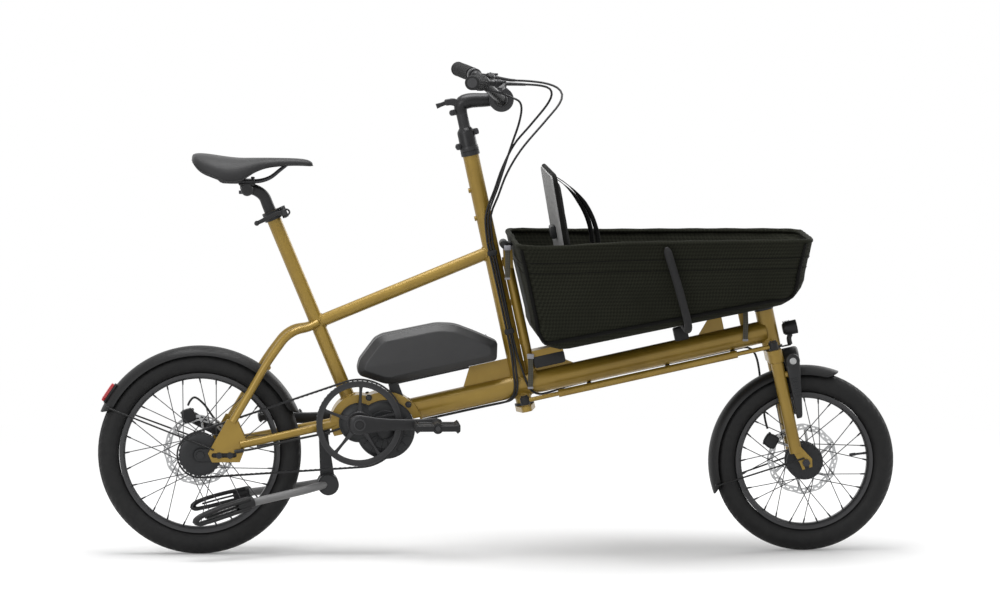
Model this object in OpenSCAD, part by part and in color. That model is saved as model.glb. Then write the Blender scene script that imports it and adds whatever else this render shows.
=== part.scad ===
// Front-loading cargo bicycle with a belt drive, a mid motor and linkage steering.
// X points forward, Y to the rider's left, Z up, and the origin lies on the ground below the middle.

/* [Wheels] */
// Outer radius of the rear tyre
rear_tyre_r = 227.5; // [210:0.5:240]
// Outer radius of the front tyre
front_tyre_r = 202.5; // [190:0.5:210]
// Width of both tyres
tyre_w = 50; // [44:1:54]
// Thickness of the tyre carcass
tyre_wall = 5; // [3:0.5:7]
// Depth of the tyre from its crown to the rim edge
tyre_depth = 48; // [45:0.5:52]
// Width of both rims
rim_w = 34; // [28:1:38]
// Depth of both rims along the radius
rim_depth = 13; // [10:0.5:18]
// Number of spokes in a wheel
spoke_count = 28; // [20:4:36]
// Radius of a spoke
spoke_r = 1; // [0.9:0.1:1.3]
// Angle that a spoke leans round the hub
spoke_lean = 48; // [20:1:60]
// Radius of both axles
axle_r = 5; // [4:0.5:6]
// Radius of the rear hub shell
rear_hub_r = 36; // [30:1:40]
// Radius of the front hub shell
front_hub_r = 33; // [28:1:36]
// Height of a hub flange above the shell
flange_height = 8; // [5:0.5:9]
// Width of a hub flange
flange_w = 6; // [5:0.5:8]
// Half distance between the middles of the hub flanges
flange_half = 27; // [24:0.5:29]
// Radius of both brake rotors
rotor_r = 80; // [70:1:85]
// Thickness of a brake rotor
rotor_t = 2; // [1.8:0.1:2.3]
// Half distance between the rear dropouts
rear_drop_half = 67.5; // [66:0.5:72]
// Half distance between the front dropouts
front_drop_half = 55; // [53:0.5:60]

/* [Frame] */
// Distance from the rear axle forward to the crank axle
bb_run = 355; // [340:1:380]
// Height of the crank axle
bb_height = 296; // [285:1:310]
// Lean of both steering axes, which is also the rise of the boom
tilt = 12.2; // [10:0.1:14]
// Distance along the boom from the crank axle to the rear steering axis
rear_head_run = 373; // [365:1:390]
// Distance along the boom from the crank axle to the front steering axis
front_head_run = 943; // [920:1:970]
// Offset of the front axle ahead of the front steering axis
fork_rake = 16.6; // [8:0.1:24]
// Radius of the boom
boom_r = 25; // [23:0.5:27]
// Wall of the frame tubes
tube_wall = 2; // [1.5:0.1:2.5]
// Radius of the rear steering head tube
head_r = 18; // [17:0.5:20]
// Height of the rear steering head tube above the boom axis
head_up = 529; // [500:1:550]
// Depth of the rear steering head tube below the boom axis
head_down = 38; // [34:1:44]
// Radius of the front head tube
front_head_r = 20.5; // [19:0.5:23]
// Height of the front head tube above the boom axis
front_head_up = 48; // [40:1:52]
// Depth of the front head tube below the boom axis
front_head_down = 36; // [32:1:40]
// Radius of both steerers
steerer_r = 15; // [14:0.25:15.5]
// Slope of the seat tube from the ground
seat_angle = 67.5; // [65:0.5:70]
// Length of the seat tube measured from the crank axle
seat_tube_l = 511; // [480:1:520]
// Radius of the seat tube
seat_tube_r = 15.9; // [15:0.1:17]
// Radius of the top tube
top_tube_r = 14.3; // [12:0.1:15]
// Height of the top tube on the steering head, above the boom axis
top_tube_up = 309; // [290:1:320]
// Distance from the crank axle up the seat tube to the top tube
top_tube_seat = 240; // [220:1:250]
// Radius of a seat stay
seat_stay_r = 9; // [7:0.5:9.5]
// Radius of a chain stay
chain_stay_r = 9; // [7:0.5:10]
// Thickness of a dropout plate
dropout_t = 6; // [5:0.5:7]
// Height of the axle slot in a dropout
slot_h = 10.4; // [9:0.2:12]
// Thickness of the gusset plates
gusset_t = 6; // [4:0.5:8]
// Radius of the basket post in front of the steering head
post_r = 11; // [10:0.5:13]
// Height of the basket post above the boom axis
post_up = 290; // [270:1:300]

/* [Drive] */
// Radius of the motor round the crank axle
motor_bb_r = 44; // [40:0.5:46]
// Radius of the motor round its rotor
motor_r = 66; // [60:0.5:68]
// Half width of the motor
motor_half = 40; // [36:0.5:42]
// Distance of the motor's rotor ahead of the crank axle
motor_run = 55; // [50:1:60]
// Drop of the motor's rotor below the boom axis
motor_drop = 28; // [24:1:32]
// Thickness of the motor cradle over the motor
cradle_t = 18; // [14:0.5:22]
// Half width of the motor cradle
cradle_half = 36; // [32:0.5:38]
// Distance of the belt from the middle plane
belt_line = 55; // [53:0.5:56]
// Width of the belt
belt_w = 10; // [8:0.5:11]
// Thickness of the belt outside its pitch line
belt_t = 4; // [3:0.5:5]
// Number of teeth on the crank's belt ring
ring_teeth = 55; // [50:1:56]
// Number of teeth on the rear sprocket
sprocket_teeth = 28; // [24:1:30]
// Length of a crank arm
crank_l = 170; // [160:1:175]
// Thickness of a crank arm
crank_t = 14; // [12:0.5:16]
// Distance from the middle plane to the inner face of a crank arm
crank_half = 82; // [80:0.5:88]
// Radius of the crank axle
crank_axle_r = 12; // [10:0.5:13]
// Radius of a crank arm at its boss
crank_boss_r = 22; // [19:0.5:24]
// Radius of a crank arm at the pedal
crank_tip_r = 15; // [13:0.5:18]
// Length of a pedal along the bicycle
pedal_l = 104; // [90:1:110]
// Width of a pedal
pedal_w = 92; // [80:1:100]
// Thickness of a pedal
pedal_t = 24; // [20:0.5:28]
// Radius of a pedal axle
pedal_axle_r = 6; // [5:0.25:7]

/* [Battery] */
// Width of the battery case
battery_w = 92; // [80:1:100]
// Height of the battery's underside above the boom axis
battery_up = 69; // [60:1:72]
// Length of the battery's underside
battery_l = 252; // [240:1:256]
// Greatest height of the battery case
battery_h = 111; // [100:1:116]
// Thickness of the rail below the battery
rail_t = 4; // [3:0.5:6]

/* [Steering and fork] */
// Length of the steering arms
steer_arm = 55; // [53:0.5:60]
// Drop of the tie rod below the boom axis
tie_drop = 31; // [30.5:0.5:34]
// Radius of the tie rod's tube
tie_r = 8.5; // [7:0.5:9]
// Radius of the eyes on the tie rod
tie_eye_r = 10; // [8:0.5:10.5]
// Radius of the pivot pins of the tie rod
tie_pin_r = 4; // [3:0.25:5]
// Radius of a fork blade
blade_r = 14; // [12:0.5:15]
// Half distance between the fork blades
blade_half = 49; // [48:0.5:54]
// Thickness of the fork crown
crown_t = 26; // [22:1:28]
// Length of the stem column above the steering head
column_l = 118; // [105:1:125]
// Radius of the stem column
column_r = 12.7; // [11:0.1:14]
// Forward reach of the stem from the steering axis to the handlebar
stem_reach = 92; // [80:1:100]
// Rise of the handlebar clamp above the top of the column, below 0 where it hangs lower
stem_rise = -9; // [-15:1:5]
// Radius of the handlebar at the stem
bar_clamp_r = 15.9; // [15:0.1:16.5]
// Radius of the handlebar at the grips
bar_r = 11.1; // [10.5:0.1:11.5]
// Half width over the grips
bar_half = 310; // [290:1:330]
// Backward sweep of a grip over its length
bar_sweep = 33; // [20:1:45]
// Rise of the handlebar ends above the stem clamp
bar_rise = 52; // [40:1:65]
// Distance that the handlebar's knees stand behind the stem clamp
knee_back = 47; // [35:1:60]
// Radius of the grips
grip_r = 16.5; // [15:0.25:17.5]
// Length of the left grip
grip_l = 131.5; // [125:0.5:134]
// Length of the twist shifter on the right
shifter_l = 42; // [36:1:48]

/* [Seat] */
// Radius of the seat post
post_seat_r = 13.6; // [12.5:0.1:14]
// Height of the saddle's top above the bend of the seat post
seat_rise = 93.6; // [90:0.2:98]
// Backward offset of the seat clamp head from the bend of the post
seat_setback = 38.7; // [32:0.1:44]
// Length of the saddle
saddle_l = 268; // [255:1:280]
// Width of the saddle at the back
saddle_w = 172; // [150:1:185]
// Depth of the saddle
saddle_h = 58; // [50:1:64]

/* [Basket] */
// Height of the basket's rim
rim_z = 703; // [700:1:730]
// Distance from the rear axle to the basket's rear rim
basket_rear = 700; // [695:1:710]
// Length of the basket's rim
basket_l = 662; // [640:1:680]
// Width of the basket's rim at the back
basket_rear_w = 500; // [470:5:520]
// Width of the basket's rim at the front
basket_front_w = 350; // [320:5:380]
// Height of the basket's underside at the back
basket_bottom_z = 463; // [455:1:475]
// Rise of the basket's underside towards the front
basket_bottom_rise = 94; // [80:1:100]
// Thickness of the basket's padded fabric
basket_t = 5; // [4:0.5:8]
// Radius of the basket's rim roll
rim_roll_r = 7; // [5:0.5:9]
// Radius of the basket's hoop
hoop_r = 9; // [7:0.5:10]
// Width of the webbing straps
strap_w = 12; // [10:0.5:20]
// Thickness of the webbing straps
strap_t = 1.6; // [1.2:0.1:2]
// Width of the backrest
backrest_w = 410; // [400:5:450]
// Height of the backrest
backrest_h = 240; // [220:1:260]
// Thickness of the backrest
backrest_t = 16; // [12:0.5:20]

/* [Fittings] */
// Radius of the rear fender over the rear axle
rear_fender_r = 241; // [238:0.5:246]
// Radius of the front fender over the front axle
front_fender_r = 216; // [213:0.5:219]
// Radius of a fender's crown across its width
fender_crown = 36; // [33:0.5:38]
// Depth of a fender's sides
fender_depth = 22; // [16:0.5:24]
// Thickness of a fender
fender_t = 2; // [1.5:0.1:3]
// Radius of the fender stays
stay_r = 2; // [1.5:0.25:2.5]
// Length of the kickstand's yoke from its pivot to its legs
stand_yoke_l = 100; // [90:1:105]
// Radius of the kickstand's barrel
stand_barrel_r = 24; // [20:0.5:26]
// Radius of a kickstand leg
stand_leg_r = 9; // [7:0.5:10]
// Half distance between the kickstand's feet
stand_half = 150; // [120:5:180]
// Outer half width of the ring lock
lock_half = 62; // [60:0.5:66]
// Thickness of the ring lock
lock_t = 24; // [20:0.5:26]
// Height of the ring lock
lock_h = 157; // [150:1:165]
// Radius of the brake hoses and cables
cable_r = 2.5; // [2:0.25:3]
// Radius of the bottle-cage screw holes
boss_hole_r = 2.1; // [2:0.05:2.6]
// Distance between the bottle-cage screw holes
boss_pitch = 64; // [60:0.5:68]
// Radius of a fastener's head
bolt_r = 5; // [4:0.25:6]

/* [Hidden] */
$fn = 48;

GOLD = "#957A2C";
BLACK = "#26272A";
GREY = "#8C8C8E";
STEEL = "#A8AAAD";
RUBBER = "#2B2B2C";
FABRIC = "#22231C";

// Gap between a shaft and its bore, and between pieces that pass each other
fit = 0.05;
gap = 0.4;

// Ring and sprocket pitch radii of an 11 mm belt
belt_pitch = 11;
ring_r = ring_teeth * belt_pitch / (2 * PI);
sprocket_r = sprocket_teeth * belt_pitch / (2 * PI);

// The front axle follows from the boom, the fork's rake and the height of the front wheel
axle_s = front_head_run + fork_rake;
axle_h = (front_tyre_r - bb_height - axle_s * sin(tilt)) / cos(tilt);
wheelbase = bb_run + axle_s * cos(tilt) - axle_h * sin(tilt);
rear_axle_x = -(wheelbase + front_tyre_r - rear_tyre_r) / 2;

function at(x, y, z) = [rear_axle_x + x, y, z];
function on_boom(s, y, h) = at(
  bb_run + s * cos(tilt) - h * sin(tilt), y, bb_height + s * sin(tilt) + h * cos(tilt));
function on_seat(d) = at(bb_run - d * cos(seat_angle), 0, bb_height + d * sin(seat_angle));
function unit(v) = v / norm(v);
function mirrored(p) = [p[0], -p[1], p[2]];

rear_axle_p = at(0, 0, rear_tyre_r);
front_axle_p = at(wheelbase, 0, front_tyre_r);
bb_p = at(bb_run, 0, bb_height);

// Coordinates along the boom, with its own Z up the steering axes
module boom_frame() {
  translate(bb_p)
    rotate([0, -tilt, 0])
      children();
}

// Coordinates of the side view, where a flat outline in X and Z is given its width in Y
module side_plate(y, t) {
  translate([0, y + t, 0])
    rotate([90, 0, 0])
      linear_extrude(t)
        children();
}

module bar(p, q, r) {
  v = q - p;
  translate(p)
    rotate([0, acos(v[2] / norm(v)), atan2(v[1], v[0])])
      cylinder(h = norm(v), r = r);
}

// A ball at p with its poles in line with q, for the bend between two bars
module ball(p, q, r) {
  v = q - p;
  translate(p)
    rotate([0, acos(v[2] / norm(v)), atan2(v[1], v[0])])
      sphere(r);
}

// A bar that narrows from p to q
module taper(p, q, r1, r2) {
  v = q - p;
  translate(p)
    rotate([0, acos(v[2] / norm(v)), atan2(v[1], v[0])])
      cylinder(h = norm(v), r1 = r1, r2 = r2);
}

module wheel_frame(p) {
  translate(p)
    rotate([90, 0, 0])
      children();
}

// Outline of a link with a round eye at each end
// The straight sides of a link lie just inside its two round ends
link_in = 0.1;

module link2d(l, r1, r2) {
  a = acos((r1 - r2) / l);
  p = r1 - link_in;
  q = r2 - link_in;
  circle(r1);
  translate([l, 0])
    circle(r2);
  polygon([
    [p * cos(a), p * sin(a)], [p * cos(a), -p * sin(a)],
    [l + q * cos(a), -q * sin(a)], [l + q * cos(a), q * sin(a)]]);
}

// A round tube swept along a path; ref is a direction that the path never takes
module sweep(path, r, sides, ref) {
  n = len(path);
  tangents = [for (i = [0 : n - 1]) unit(path[min(i + 1, n - 1)] - path[max(i - 1, 0)])];
  points = [
    for (i = [0 : n - 1])
      let (u = unit(cross(ref, tangents[i])), v = cross(tangents[i], u))
        for (j = [0 : sides - 1])
          path[i] + r * cos(360 * j / sides) * u + r * sin(360 * j / sides) * v];
  walls = [
    for (i = [0 : n - 2])
      for (j = [0 : sides - 1])
        let (k = (j + 1) % sides)
          [i * sides + j, (i + 1) * sides + j, (i + 1) * sides + k, i * sides + k]];
  start = [[for (j = [0 : sides - 1]) j]];
  end = [[for (j = [0 : sides - 1]) n * sides - 1 - j]];
  polyhedron(points, concat(walls, start, end));
}

// Frame tubes

module head_core() {
  boom_frame()
    translate([rear_head_run, 0, -head_down])
      cylinder(h = head_up + head_down, r = head_r);
}

module front_head_core() {
  boom_frame()
    translate([front_head_run, 0, -front_head_down])
      cylinder(h = front_head_up + front_head_down, r = front_head_r);
}

module boom_core(grow = 0) {
  boom_frame()
    translate([motor_run, 0, 0])
      rotate([0, 90, 0])
        cylinder(h = front_head_run - boom_end - motor_run, r = boom_r + grow);
}

module seat_core() {
  bar(bb_p, on_seat(seat_tube_l), seat_tube_r);
}

module motor_outline(grow) {
  circle(motor_bb_r + grow);
  translate([motor_run, -motor_drop])
    circle(motor_r + grow);
}

module cradle_core() {
  boom_frame()
    side_plate(-cradle_half, 2 * cradle_half)
      motor_outline(gap + cradle_t);
}

// The boom stops short of the front head tube's middle
boom_end = 6;

module main_boom() {
  color(GOLD)
    difference() {
      boom_core();
      boom_core(-tube_wall);
      head_core();
      front_head_core();
      cradle_core();
    }
}

// Height of the lower bottle-cage boss, its radius and how far it stands off the tube
boss_h = 388;
boss_r = 5.5;
boss_l = 4;

module head_tube() {
  color(GOLD)
    difference() {
      union() {
        head_core();
        boom_frame()
          for (h = [boss_h, boss_h + boss_pitch])
            translate([rear_head_run - head_r - boss_l, 0, h])
              rotate([0, 90, 0])
                cylinder(h = boss_l + head_r - steerer_r, r = boss_r);
      }
      boom_frame()
        translate([rear_head_run, 0, -head_down - 1])
          cylinder(h = head_up + head_down + 2, r = steerer_r + fit);
      boom_frame()
        for (h = [boss_h, boss_h + boss_pitch])
          translate([rear_head_run - head_r - boss_l - 1, 0, h])
            rotate([0, 90, 0])
              cylinder(h = boss_l + head_r, r = boss_hole_r);
    }
}

module front_head_tube() {
  color(GOLD)
    difference() {
      front_head_core();
      boom_frame()
        translate([front_head_run, 0, -front_head_down - 1])
          cylinder(h = front_head_up + front_head_down + 2, r = steerer_r + fit);
    }
}

module top_tube() {
  head_end = on_boom(rear_head_run, 0, top_tube_up);
  seat_end = on_seat(top_tube_seat);
  color(GOLD)
    difference() {
      bar(head_end, seat_end, top_tube_r);
      bar(head_end, seat_end, top_tube_r - tube_wall);
      head_core();
      seat_core();
    }
}

module seat_tube() {
  color(GOLD)
    difference() {
      seat_core();
      bar(bb_p, on_seat(seat_tube_l + 1), post_seat_r + fit);
      cradle_core();
    }
}

// Corners of the left dropout plate ahead of the rear axle and above the ground
drop_mid = rear_drop_half + dropout_t / 2;
slot_ends = [30, 76];
slot_z = rear_tyre_r;
dropout_points = [[60, 308], [82, 306], [102, 262], [98, 238], [88, 212], [26, 212], [17, 232]];

module dropout_core() {
  for (y = [-rear_drop_half - dropout_t, rear_drop_half])
    translate([rear_axle_x, 0, 0])
      side_plate(y, dropout_t)
        polygon(dropout_points);
}

// The bridge between the seat stays rests on the rear fender at this angle
bridge_angle = 52;
bridge_r = 6;
bridge_reach = rear_fender_r + bridge_r + gap;
bridge_p = rear_axle_p + bridge_reach * [cos(bridge_angle), 0, sin(bridge_angle)];

// Where the stays pass the wheel
stay_bend = at(150, 58, 432);
stay_end = at(72, drop_mid, 302);
stay_start = on_seat(top_tube_seat);

module seat_stays() {
  path = [
    stay_start + [0, seat_tube_r - 2, 0], at(244, 26, 509), at(214, 42, 502), at(192, 49, 488),
    at(174, 53, 466), stay_bend, stay_end];
  color(GOLD)
    difference() {
      union() {
        sweep(path, seat_stay_r, 20, [0, 1, 0]);
        sweep([for (p = path) mirrored(p)], seat_stay_r, 20, [0, 1, 0]);
        bar(bridge_p - [0, stay_bend[1], 0], bridge_p + [0, stay_bend[1], 0], bridge_r);
      }
      seat_core();
      dropout_core();
      bar(on_boom(rear_head_run, 0, top_tube_up), on_seat(top_tube_seat), top_tube_r);
    }
}

chain_stay_rear = at(88, drop_mid, 250);
chain_stay_front = at(bb_run - motor_bb_r - cradle_t, cradle_half - chain_stay_r - 1, bb_height - 4);

module chain_stays() {
  color(GOLD) {
    difference() {
      union() {
        bar(chain_stay_rear, chain_stay_front + [20, 0, 3], chain_stay_r);
        bar(mirrored(chain_stay_rear), mirrored(chain_stay_front) + [20, 0, 3], chain_stay_r);
      }
      cradle_core();
      dropout_core();
    }
    difference() {
      dropout_core();
      translate([rear_axle_x, -rear_drop_half - dropout_t - 1, 0])
        side_plate(0, 2 * (rear_drop_half + dropout_t + 1))
          union() {
            for (x = slot_ends)
              translate([x, slot_z])
                circle(slot_h / 2);
            translate([slot_ends[0], slot_z - slot_h / 2])
              square([slot_ends[1] - slot_ends[0], slot_h]);
          }
    }
  }
}

// Height of the basket's underside above the boom axis at a place along the boom
bottom_rear_x = 778;
bottom_run = 525;
bottom_slope = basket_bottom_rise / bottom_run;
function under_basket(s) =
  (basket_bottom_z + bottom_slope * (bb_run + s * cos(tilt) - bottom_rear_x) - bb_height - s * sin(tilt))
  / (cos(tilt) + bottom_slope * sin(tilt)) - 1.5 * gap;

// Places of the gussets and supports along the boom
rear_gusset = [245, 270, 66];
front_gusset = [467, 505, 47];
block_s = [412, 482];
block_half = 28;
saddle_s = [734, 764];
front_plate_s = [784, 820, 846];
front_post_s = [884, 900];
post_s = rear_head_run + head_r + post_r + 1;

module basket_mounts() {
  color(GOLD)
    difference() {
      union() {
        boom_frame() {
          side_plate(-gusset_t / 2, gusset_t) {
            polygon([
              [rear_gusset[0], boom_r - 4], [rear_gusset[1], rear_gusset[2]],
              [rear_head_run, rear_gusset[2]], [rear_head_run, boom_r - 4]]);
            polygon([
              [rear_head_run, boom_r - 4], [rear_head_run, front_gusset[2] + 7],
              [front_gusset[0], front_gusset[2]], [front_gusset[1], boom_r - 4]]);
            polygon([
              [front_plate_s[0], boom_r - 4], [front_plate_s[1], under_basket(front_plate_s[1])],
              [front_plate_s[2], under_basket(front_plate_s[2])], [front_plate_s[2], boom_r - 4]]);
            polygon([
              [front_post_s[0], boom_r - 4], [front_post_s[0], under_basket(front_post_s[0])],
              [front_post_s[1], under_basket(front_post_s[1])], [front_post_s[1], boom_r - 4]]);
            for (h = [90, 180, 270])
              translate([rear_head_run, h])
                square([post_s - rear_head_run, 14]);
          }
          translate([post_s, 0, boom_r - 4])
            cylinder(h = post_up - boom_r + 4, r = post_r);
        }
        side_plate(-strap_w, 2 * strap_w)
          polygon([
            [rear_axle_x + basket_rear - 18, rim_z - 64], [rear_axle_x + basket_rear + 3, rim_z - 64],
            [rear_axle_x + basket_rear, rim_z - 22], [rear_axle_x + basket_rear - 20, rim_z - 22]]);
      }
      boom_core();
      head_core();
    }
  color(BLACK)
    difference() {
      boom_frame() {
        side_plate(-block_half, 2 * block_half)
          polygon([
            [block_s[0], front_gusset[2] - 14], [block_s[0], under_basket(block_s[1])],
            [block_s[1], under_basket(block_s[1])], [block_s[1], front_gusset[2] - 14]]);
        side_plate(-strap_w, 2 * strap_w)
          polygon([
            [saddle_s[0], 0], [saddle_s[0], hoop_seat(saddle_s[0])],
            [saddle_s[1], hoop_seat(saddle_s[1])], [saddle_s[1], 0]]);
      }
      boom_core();
      boom_frame()
        side_plate(-gusset_t / 2, gusset_t)
          polygon([
            [rear_head_run, boom_r - 4], [rear_head_run, front_gusset[2] + 7],
            [front_gusset[0], front_gusset[2]], [front_gusset[1], boom_r - 4]]);
    }
}

function hoop_seat(s) = under_basket(s) - 2 * hoop_r - 2 * gap;

module motor_cradle() {
  color(GOLD)
    boom_frame()
      difference() {
        side_plate(-cradle_half, 2 * cradle_half)
          difference() {
            motor_outline(gap + cradle_t);
            motor_outline(gap);
            translate([-200, -200 - cradle_low])
              square([400, 200]);
          }
        rotate([90, 0, 0])
          cylinder(h = 3 * cradle_half, r = crank_axle_r + 4, center = true);
      }
}

// The cradle reaches this far below the boom axis
cradle_low = 18;

module motor() {
  color(BLACK)
    boom_frame()
      difference() {
        side_plate(-motor_half, 2 * motor_half)
          motor_outline(0);
        rotate([90, 0, 0])
          cylinder(h = 3 * motor_half, r = crank_axle_r + fit, center = true);
      }
}

// The battery's underside starts this far ahead of the crank axle
battery_s = 80;

module battery_rail() {
  rail_low = battery_up - gap - rail_t;
  rail_end = rear_gusset[1] - 2;
  color(BLACK)
    difference() {
      boom_frame()
        side_plate(-battery_w / 4, battery_w / 2)
          polygon([
            [battery_s + 4, boom_r - 12], [battery_s + 4, battery_up - gap], [rail_end, battery_up - gap],
            [rail_end, rail_low], [battery_s + 26, rail_low], [battery_s + 34, boom_r - 12]]);
      boom_core();
      cradle_core();
    }
}

module battery_case() {
  front = battery_s + battery_l;
  top = battery_up + battery_h;
  color("#434343")
    boom_frame()
      side_plate(-battery_w / 2, battery_w)
        polygon([
          [battery_s, battery_up], [front, battery_up], [front + 10, battery_up + 40],
          [front - 32, top - 40], [front - 75, top - 12], [front - 114, top - 2],
          [battery_s + 14, top], [battery_s - 4, top - 5], [battery_s - 48, battery_up + 68],
          [battery_s - 57, battery_up + 50], [battery_s - 57, battery_up + 34]]);
}

// Wheels

module rim(tyre_r) {
  outer = tyre_r - tyre_depth;
  inner = outer - rim_depth;
  rotate_extrude($fn = 96)
    polygon([
      [inner, -rim_w / 2 + 8], [inner + 5, -rim_w / 2], [outer, -rim_w / 2],
      [outer, rim_w / 2], [inner + 5, rim_w / 2], [inner, rim_w / 2 - 8]]);
}

module tyre(tyre_r) {
  rotate_extrude($fn = 96)
    difference() {
      translate([tyre_r - tyre_w / 2, 0])
        circle(tyre_w / 2);
      translate([tyre_r - tyre_w / 2, 0])
        circle(tyre_w / 2 - tyre_wall);
      translate([tyre_r - tyre_depth - tyre_w, -tyre_w])
        square([tyre_w, 2 * tyre_w]);
    }
}

module spokes(tyre_r, flange_r) {
  inner = tyre_r - tyre_depth - rim_depth;
  step = 360 / spoke_count;
  difference() {
    for (i = [0 : spoke_count - 1]) {
      side = i % 2 == 0 ? 1 : -1;
      lean = floor(i / 2) % 2 == 0 ? 1 : -1;
      rim_a = i * step;
      hub_a = rim_a + lean * spoke_lean;
      bar(
        [(flange_r - 2) * cos(hub_a), (flange_r - 2) * sin(hub_a), side * (flange_half + lean * 1.4)],
        [(inner + 2) * cos(rim_a), (inner + 2) * sin(rim_a), side * 4], spoke_r);
    }
    cylinder(h = 4 * flange_half, r = flange_r, center = true);
    difference() {
      cylinder(h = 4 * flange_half, r = inner + 20, center = true);
      cylinder(h = 5 * flange_half, r = inner, center = true);
    }
  }
}

module hub(shell_r, half_left, half_right, rotor_y) {
  flange_r = shell_r + flange_height;
  difference() {
    union() {
      translate([0, 0, -flange_half])
        cylinder(h = 2 * flange_half, r = shell_r);
      for (z = [-flange_half, flange_half])
        translate([0, 0, z - flange_w / 2])
          cylinder(h = flange_w, r = flange_r);
      translate([0, 0, -half_left])
        cylinder(h = half_left + half_right, r = journal_r);
      translate([0, 0, -rotor_y - rotor_t])
        rotor();
      translate([0, 0, -rotor_y - rotor_t])
        cylinder(h = rotor_y, r = rotor_r / 4);
    }
    cylinder(h = 4 * rear_drop_half, r = axle_r + fit, center = true);
  }
}

journal_r = 11;

// Brake rotor with a braking band, six arms and a carrier
module rotor() {
  difference() {
    cylinder(h = rotor_t, r = rotor_r);
    translate([0, 0, -1])
      difference() {
        cylinder(h = rotor_t + 2, r = rotor_r - 15);
        cylinder(h = rotor_t + 2, r = rotor_r / 4 + 4);
        for (i = [0 : 5])
          rotate(60 * i)
            translate([0, -4, 0])
              cube([rotor_r, 8, rotor_t + 2]);
      }
    for (i = [0 : 17])
      rotate(20 * i)
        translate([rotor_r - 7, 0, -1])
          cylinder(h = rotor_t + 2, r = 3);
  }
}

rear_rotor_y = 54;
front_rotor_y = blade_half - blade_r - rotor_t - 1.6;

module rear_rim() {
  color(BLACK) wheel_frame(rear_axle_p) rim(rear_tyre_r);
}

module rear_tyre() {
  color(RUBBER) wheel_frame(rear_axle_p) tyre(rear_tyre_r);
}

module rear_spokes() {
  color(STEEL) wheel_frame(rear_axle_p) spokes(rear_tyre_r, rear_hub_r + flange_height);
}

module rear_hub() {
  color(BLACK)
    wheel_frame(rear_axle_p)
      hub(rear_hub_r, slider_in - gap, slider_in - gap, rear_rotor_y);
}

module front_rim() {
  color(BLACK) wheel_frame(front_axle_p) rim(front_tyre_r);
}

module front_tyre() {
  color(RUBBER) wheel_frame(front_axle_p) tyre(front_tyre_r);
}

module front_spokes() {
  color(STEEL) wheel_frame(front_axle_p) spokes(front_tyre_r, front_hub_r + flange_height);
}

module front_hub() {
  color(BLACK)
    wheel_frame(front_axle_p)
      hub(front_hub_r, front_drop_half - gap, front_drop_half - gap, front_rotor_y);
}

// The axle carriers slide along the slots on the inner faces of the dropouts
slider_t = 6;
slider_in = rear_drop_half - slider_t - fit;
slider_l = 72;
slider_bolts = [42, 66];

module rear_axle() {
  color(BLACK)
    wheel_frame(rear_axle_p) {
      for (side = [-1, 1]) {
        translate([0, 0, side > 0 ? slider_in : -slider_in - slider_t])
          linear_extrude(slider_t)
            link2d(slider_l, 14, 11);
        for (x = slider_bolts)
          translate([x, 0, side > 0 ? slider_in : -rear_drop_half - dropout_t - 4]) {
            cylinder(h = rear_drop_half + dropout_t + 4 - slider_in, r = slot_h / 2 - 0.7);
            translate([0, 0, side > 0 ? rear_drop_half + dropout_t + fit - slider_in : 0])
              cylinder(h = 4 - fit, r = bolt_r + 2);
          }
        translate([0, 0, side > 0 ? slider_in : -rear_drop_half - 7])
          cylinder(h = rear_drop_half + 7 - slider_in, r = 9, $fn = 6);
      }
      cylinder(h = 2 * slider_in + 1, r = axle_r, center = true);
    }
}

// Rear fender from its front end to its tail, in degrees up from straight ahead
rear_fender_from = 22;
rear_fender_to = 157;
tail_light_from = 140;
tail_light_to = 152;

module fender_arc(r, from, to) {
  rotate(from)
    rotate_extrude(angle = to - from, $fn = 96)
      intersection() {
        difference() {
          translate([r - fender_crown, 0])
            circle(fender_crown);
          translate([r - fender_crown, 0])
            circle(fender_crown - fender_t);
        }
        translate([r - fender_depth, -fender_crown])
          square([fender_depth + 1, 2 * fender_crown]);
      }
}

module rear_fender() {
  tail_r = rear_fender_r - fender_depth / 2;
  tail_a = rear_fender_to - 4;
  tail = rear_axle_p + tail_r * [cos(tail_a), 0, sin(tail_a)];
  foot = at(30, rear_drop_half + dropout_t + stay_r + 2 * gap, 240);
  color(BLACK) {
    wheel_frame(rear_axle_p)
      fender_arc(rear_fender_r, rear_fender_from, rear_fender_to);
    for (side = [-1, 1]) {
      bar(tail + [0, side * (fender_crown + 1), 0], [foot[0], side * foot[1], foot[2]], stay_r);
      bar(tail + [0, side * (fender_crown - 6), 0], tail + [0, side * (fender_crown + 3), 0], stay_r + 2);
    }
  }
}

module tail_light() {
  color("#B3202A")
    wheel_frame(rear_axle_p)
      rotate(tail_light_from)
        rotate_extrude(angle = tail_light_to - tail_light_from, $fn = 96)
          difference() {
            translate([rear_fender_r - 8, -14])
              square([18, 28]);
            translate([rear_fender_r - fender_crown, 0])
              circle(fender_crown + fit);
          }
}

// Caliper over a rotor, drawn along the radius with its slot across the middle
module caliper(y, inner, outer) {
  difference() {
    translate([rotor_r - 18, -17, -y - outer])
      cube([36, 34, inner + outer]);
    translate([rotor_r - 19, -18, -y - rotor_t - 1.2])
      cube([19 + gap + 2, 36, rotor_t + 2.4]);
  }
}

rear_caliper_a = 107;
rear_mount = [55, 262];

module rear_caliper() {
  centre = [rotor_r * cos(rear_caliper_a), rear_tyre_r + rotor_r * sin(rear_caliper_a)];
  mount = rear_mount - centre;
  color(BLACK) {
    wheel_frame(rear_axle_p)
      rotate(rear_caliper_a)
        caliper(rear_rotor_y, 11, rear_drop_half - rear_rotor_y - 3);
    translate([rear_axle_x + centre[0], 0, centre[1]])
      rotate([0, -atan2(mount[1], mount[0]), 0])
        side_plate(rear_drop_half - fit - 5, 5)
          link2d(norm(mount), 14, 10);
  }
}

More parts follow.
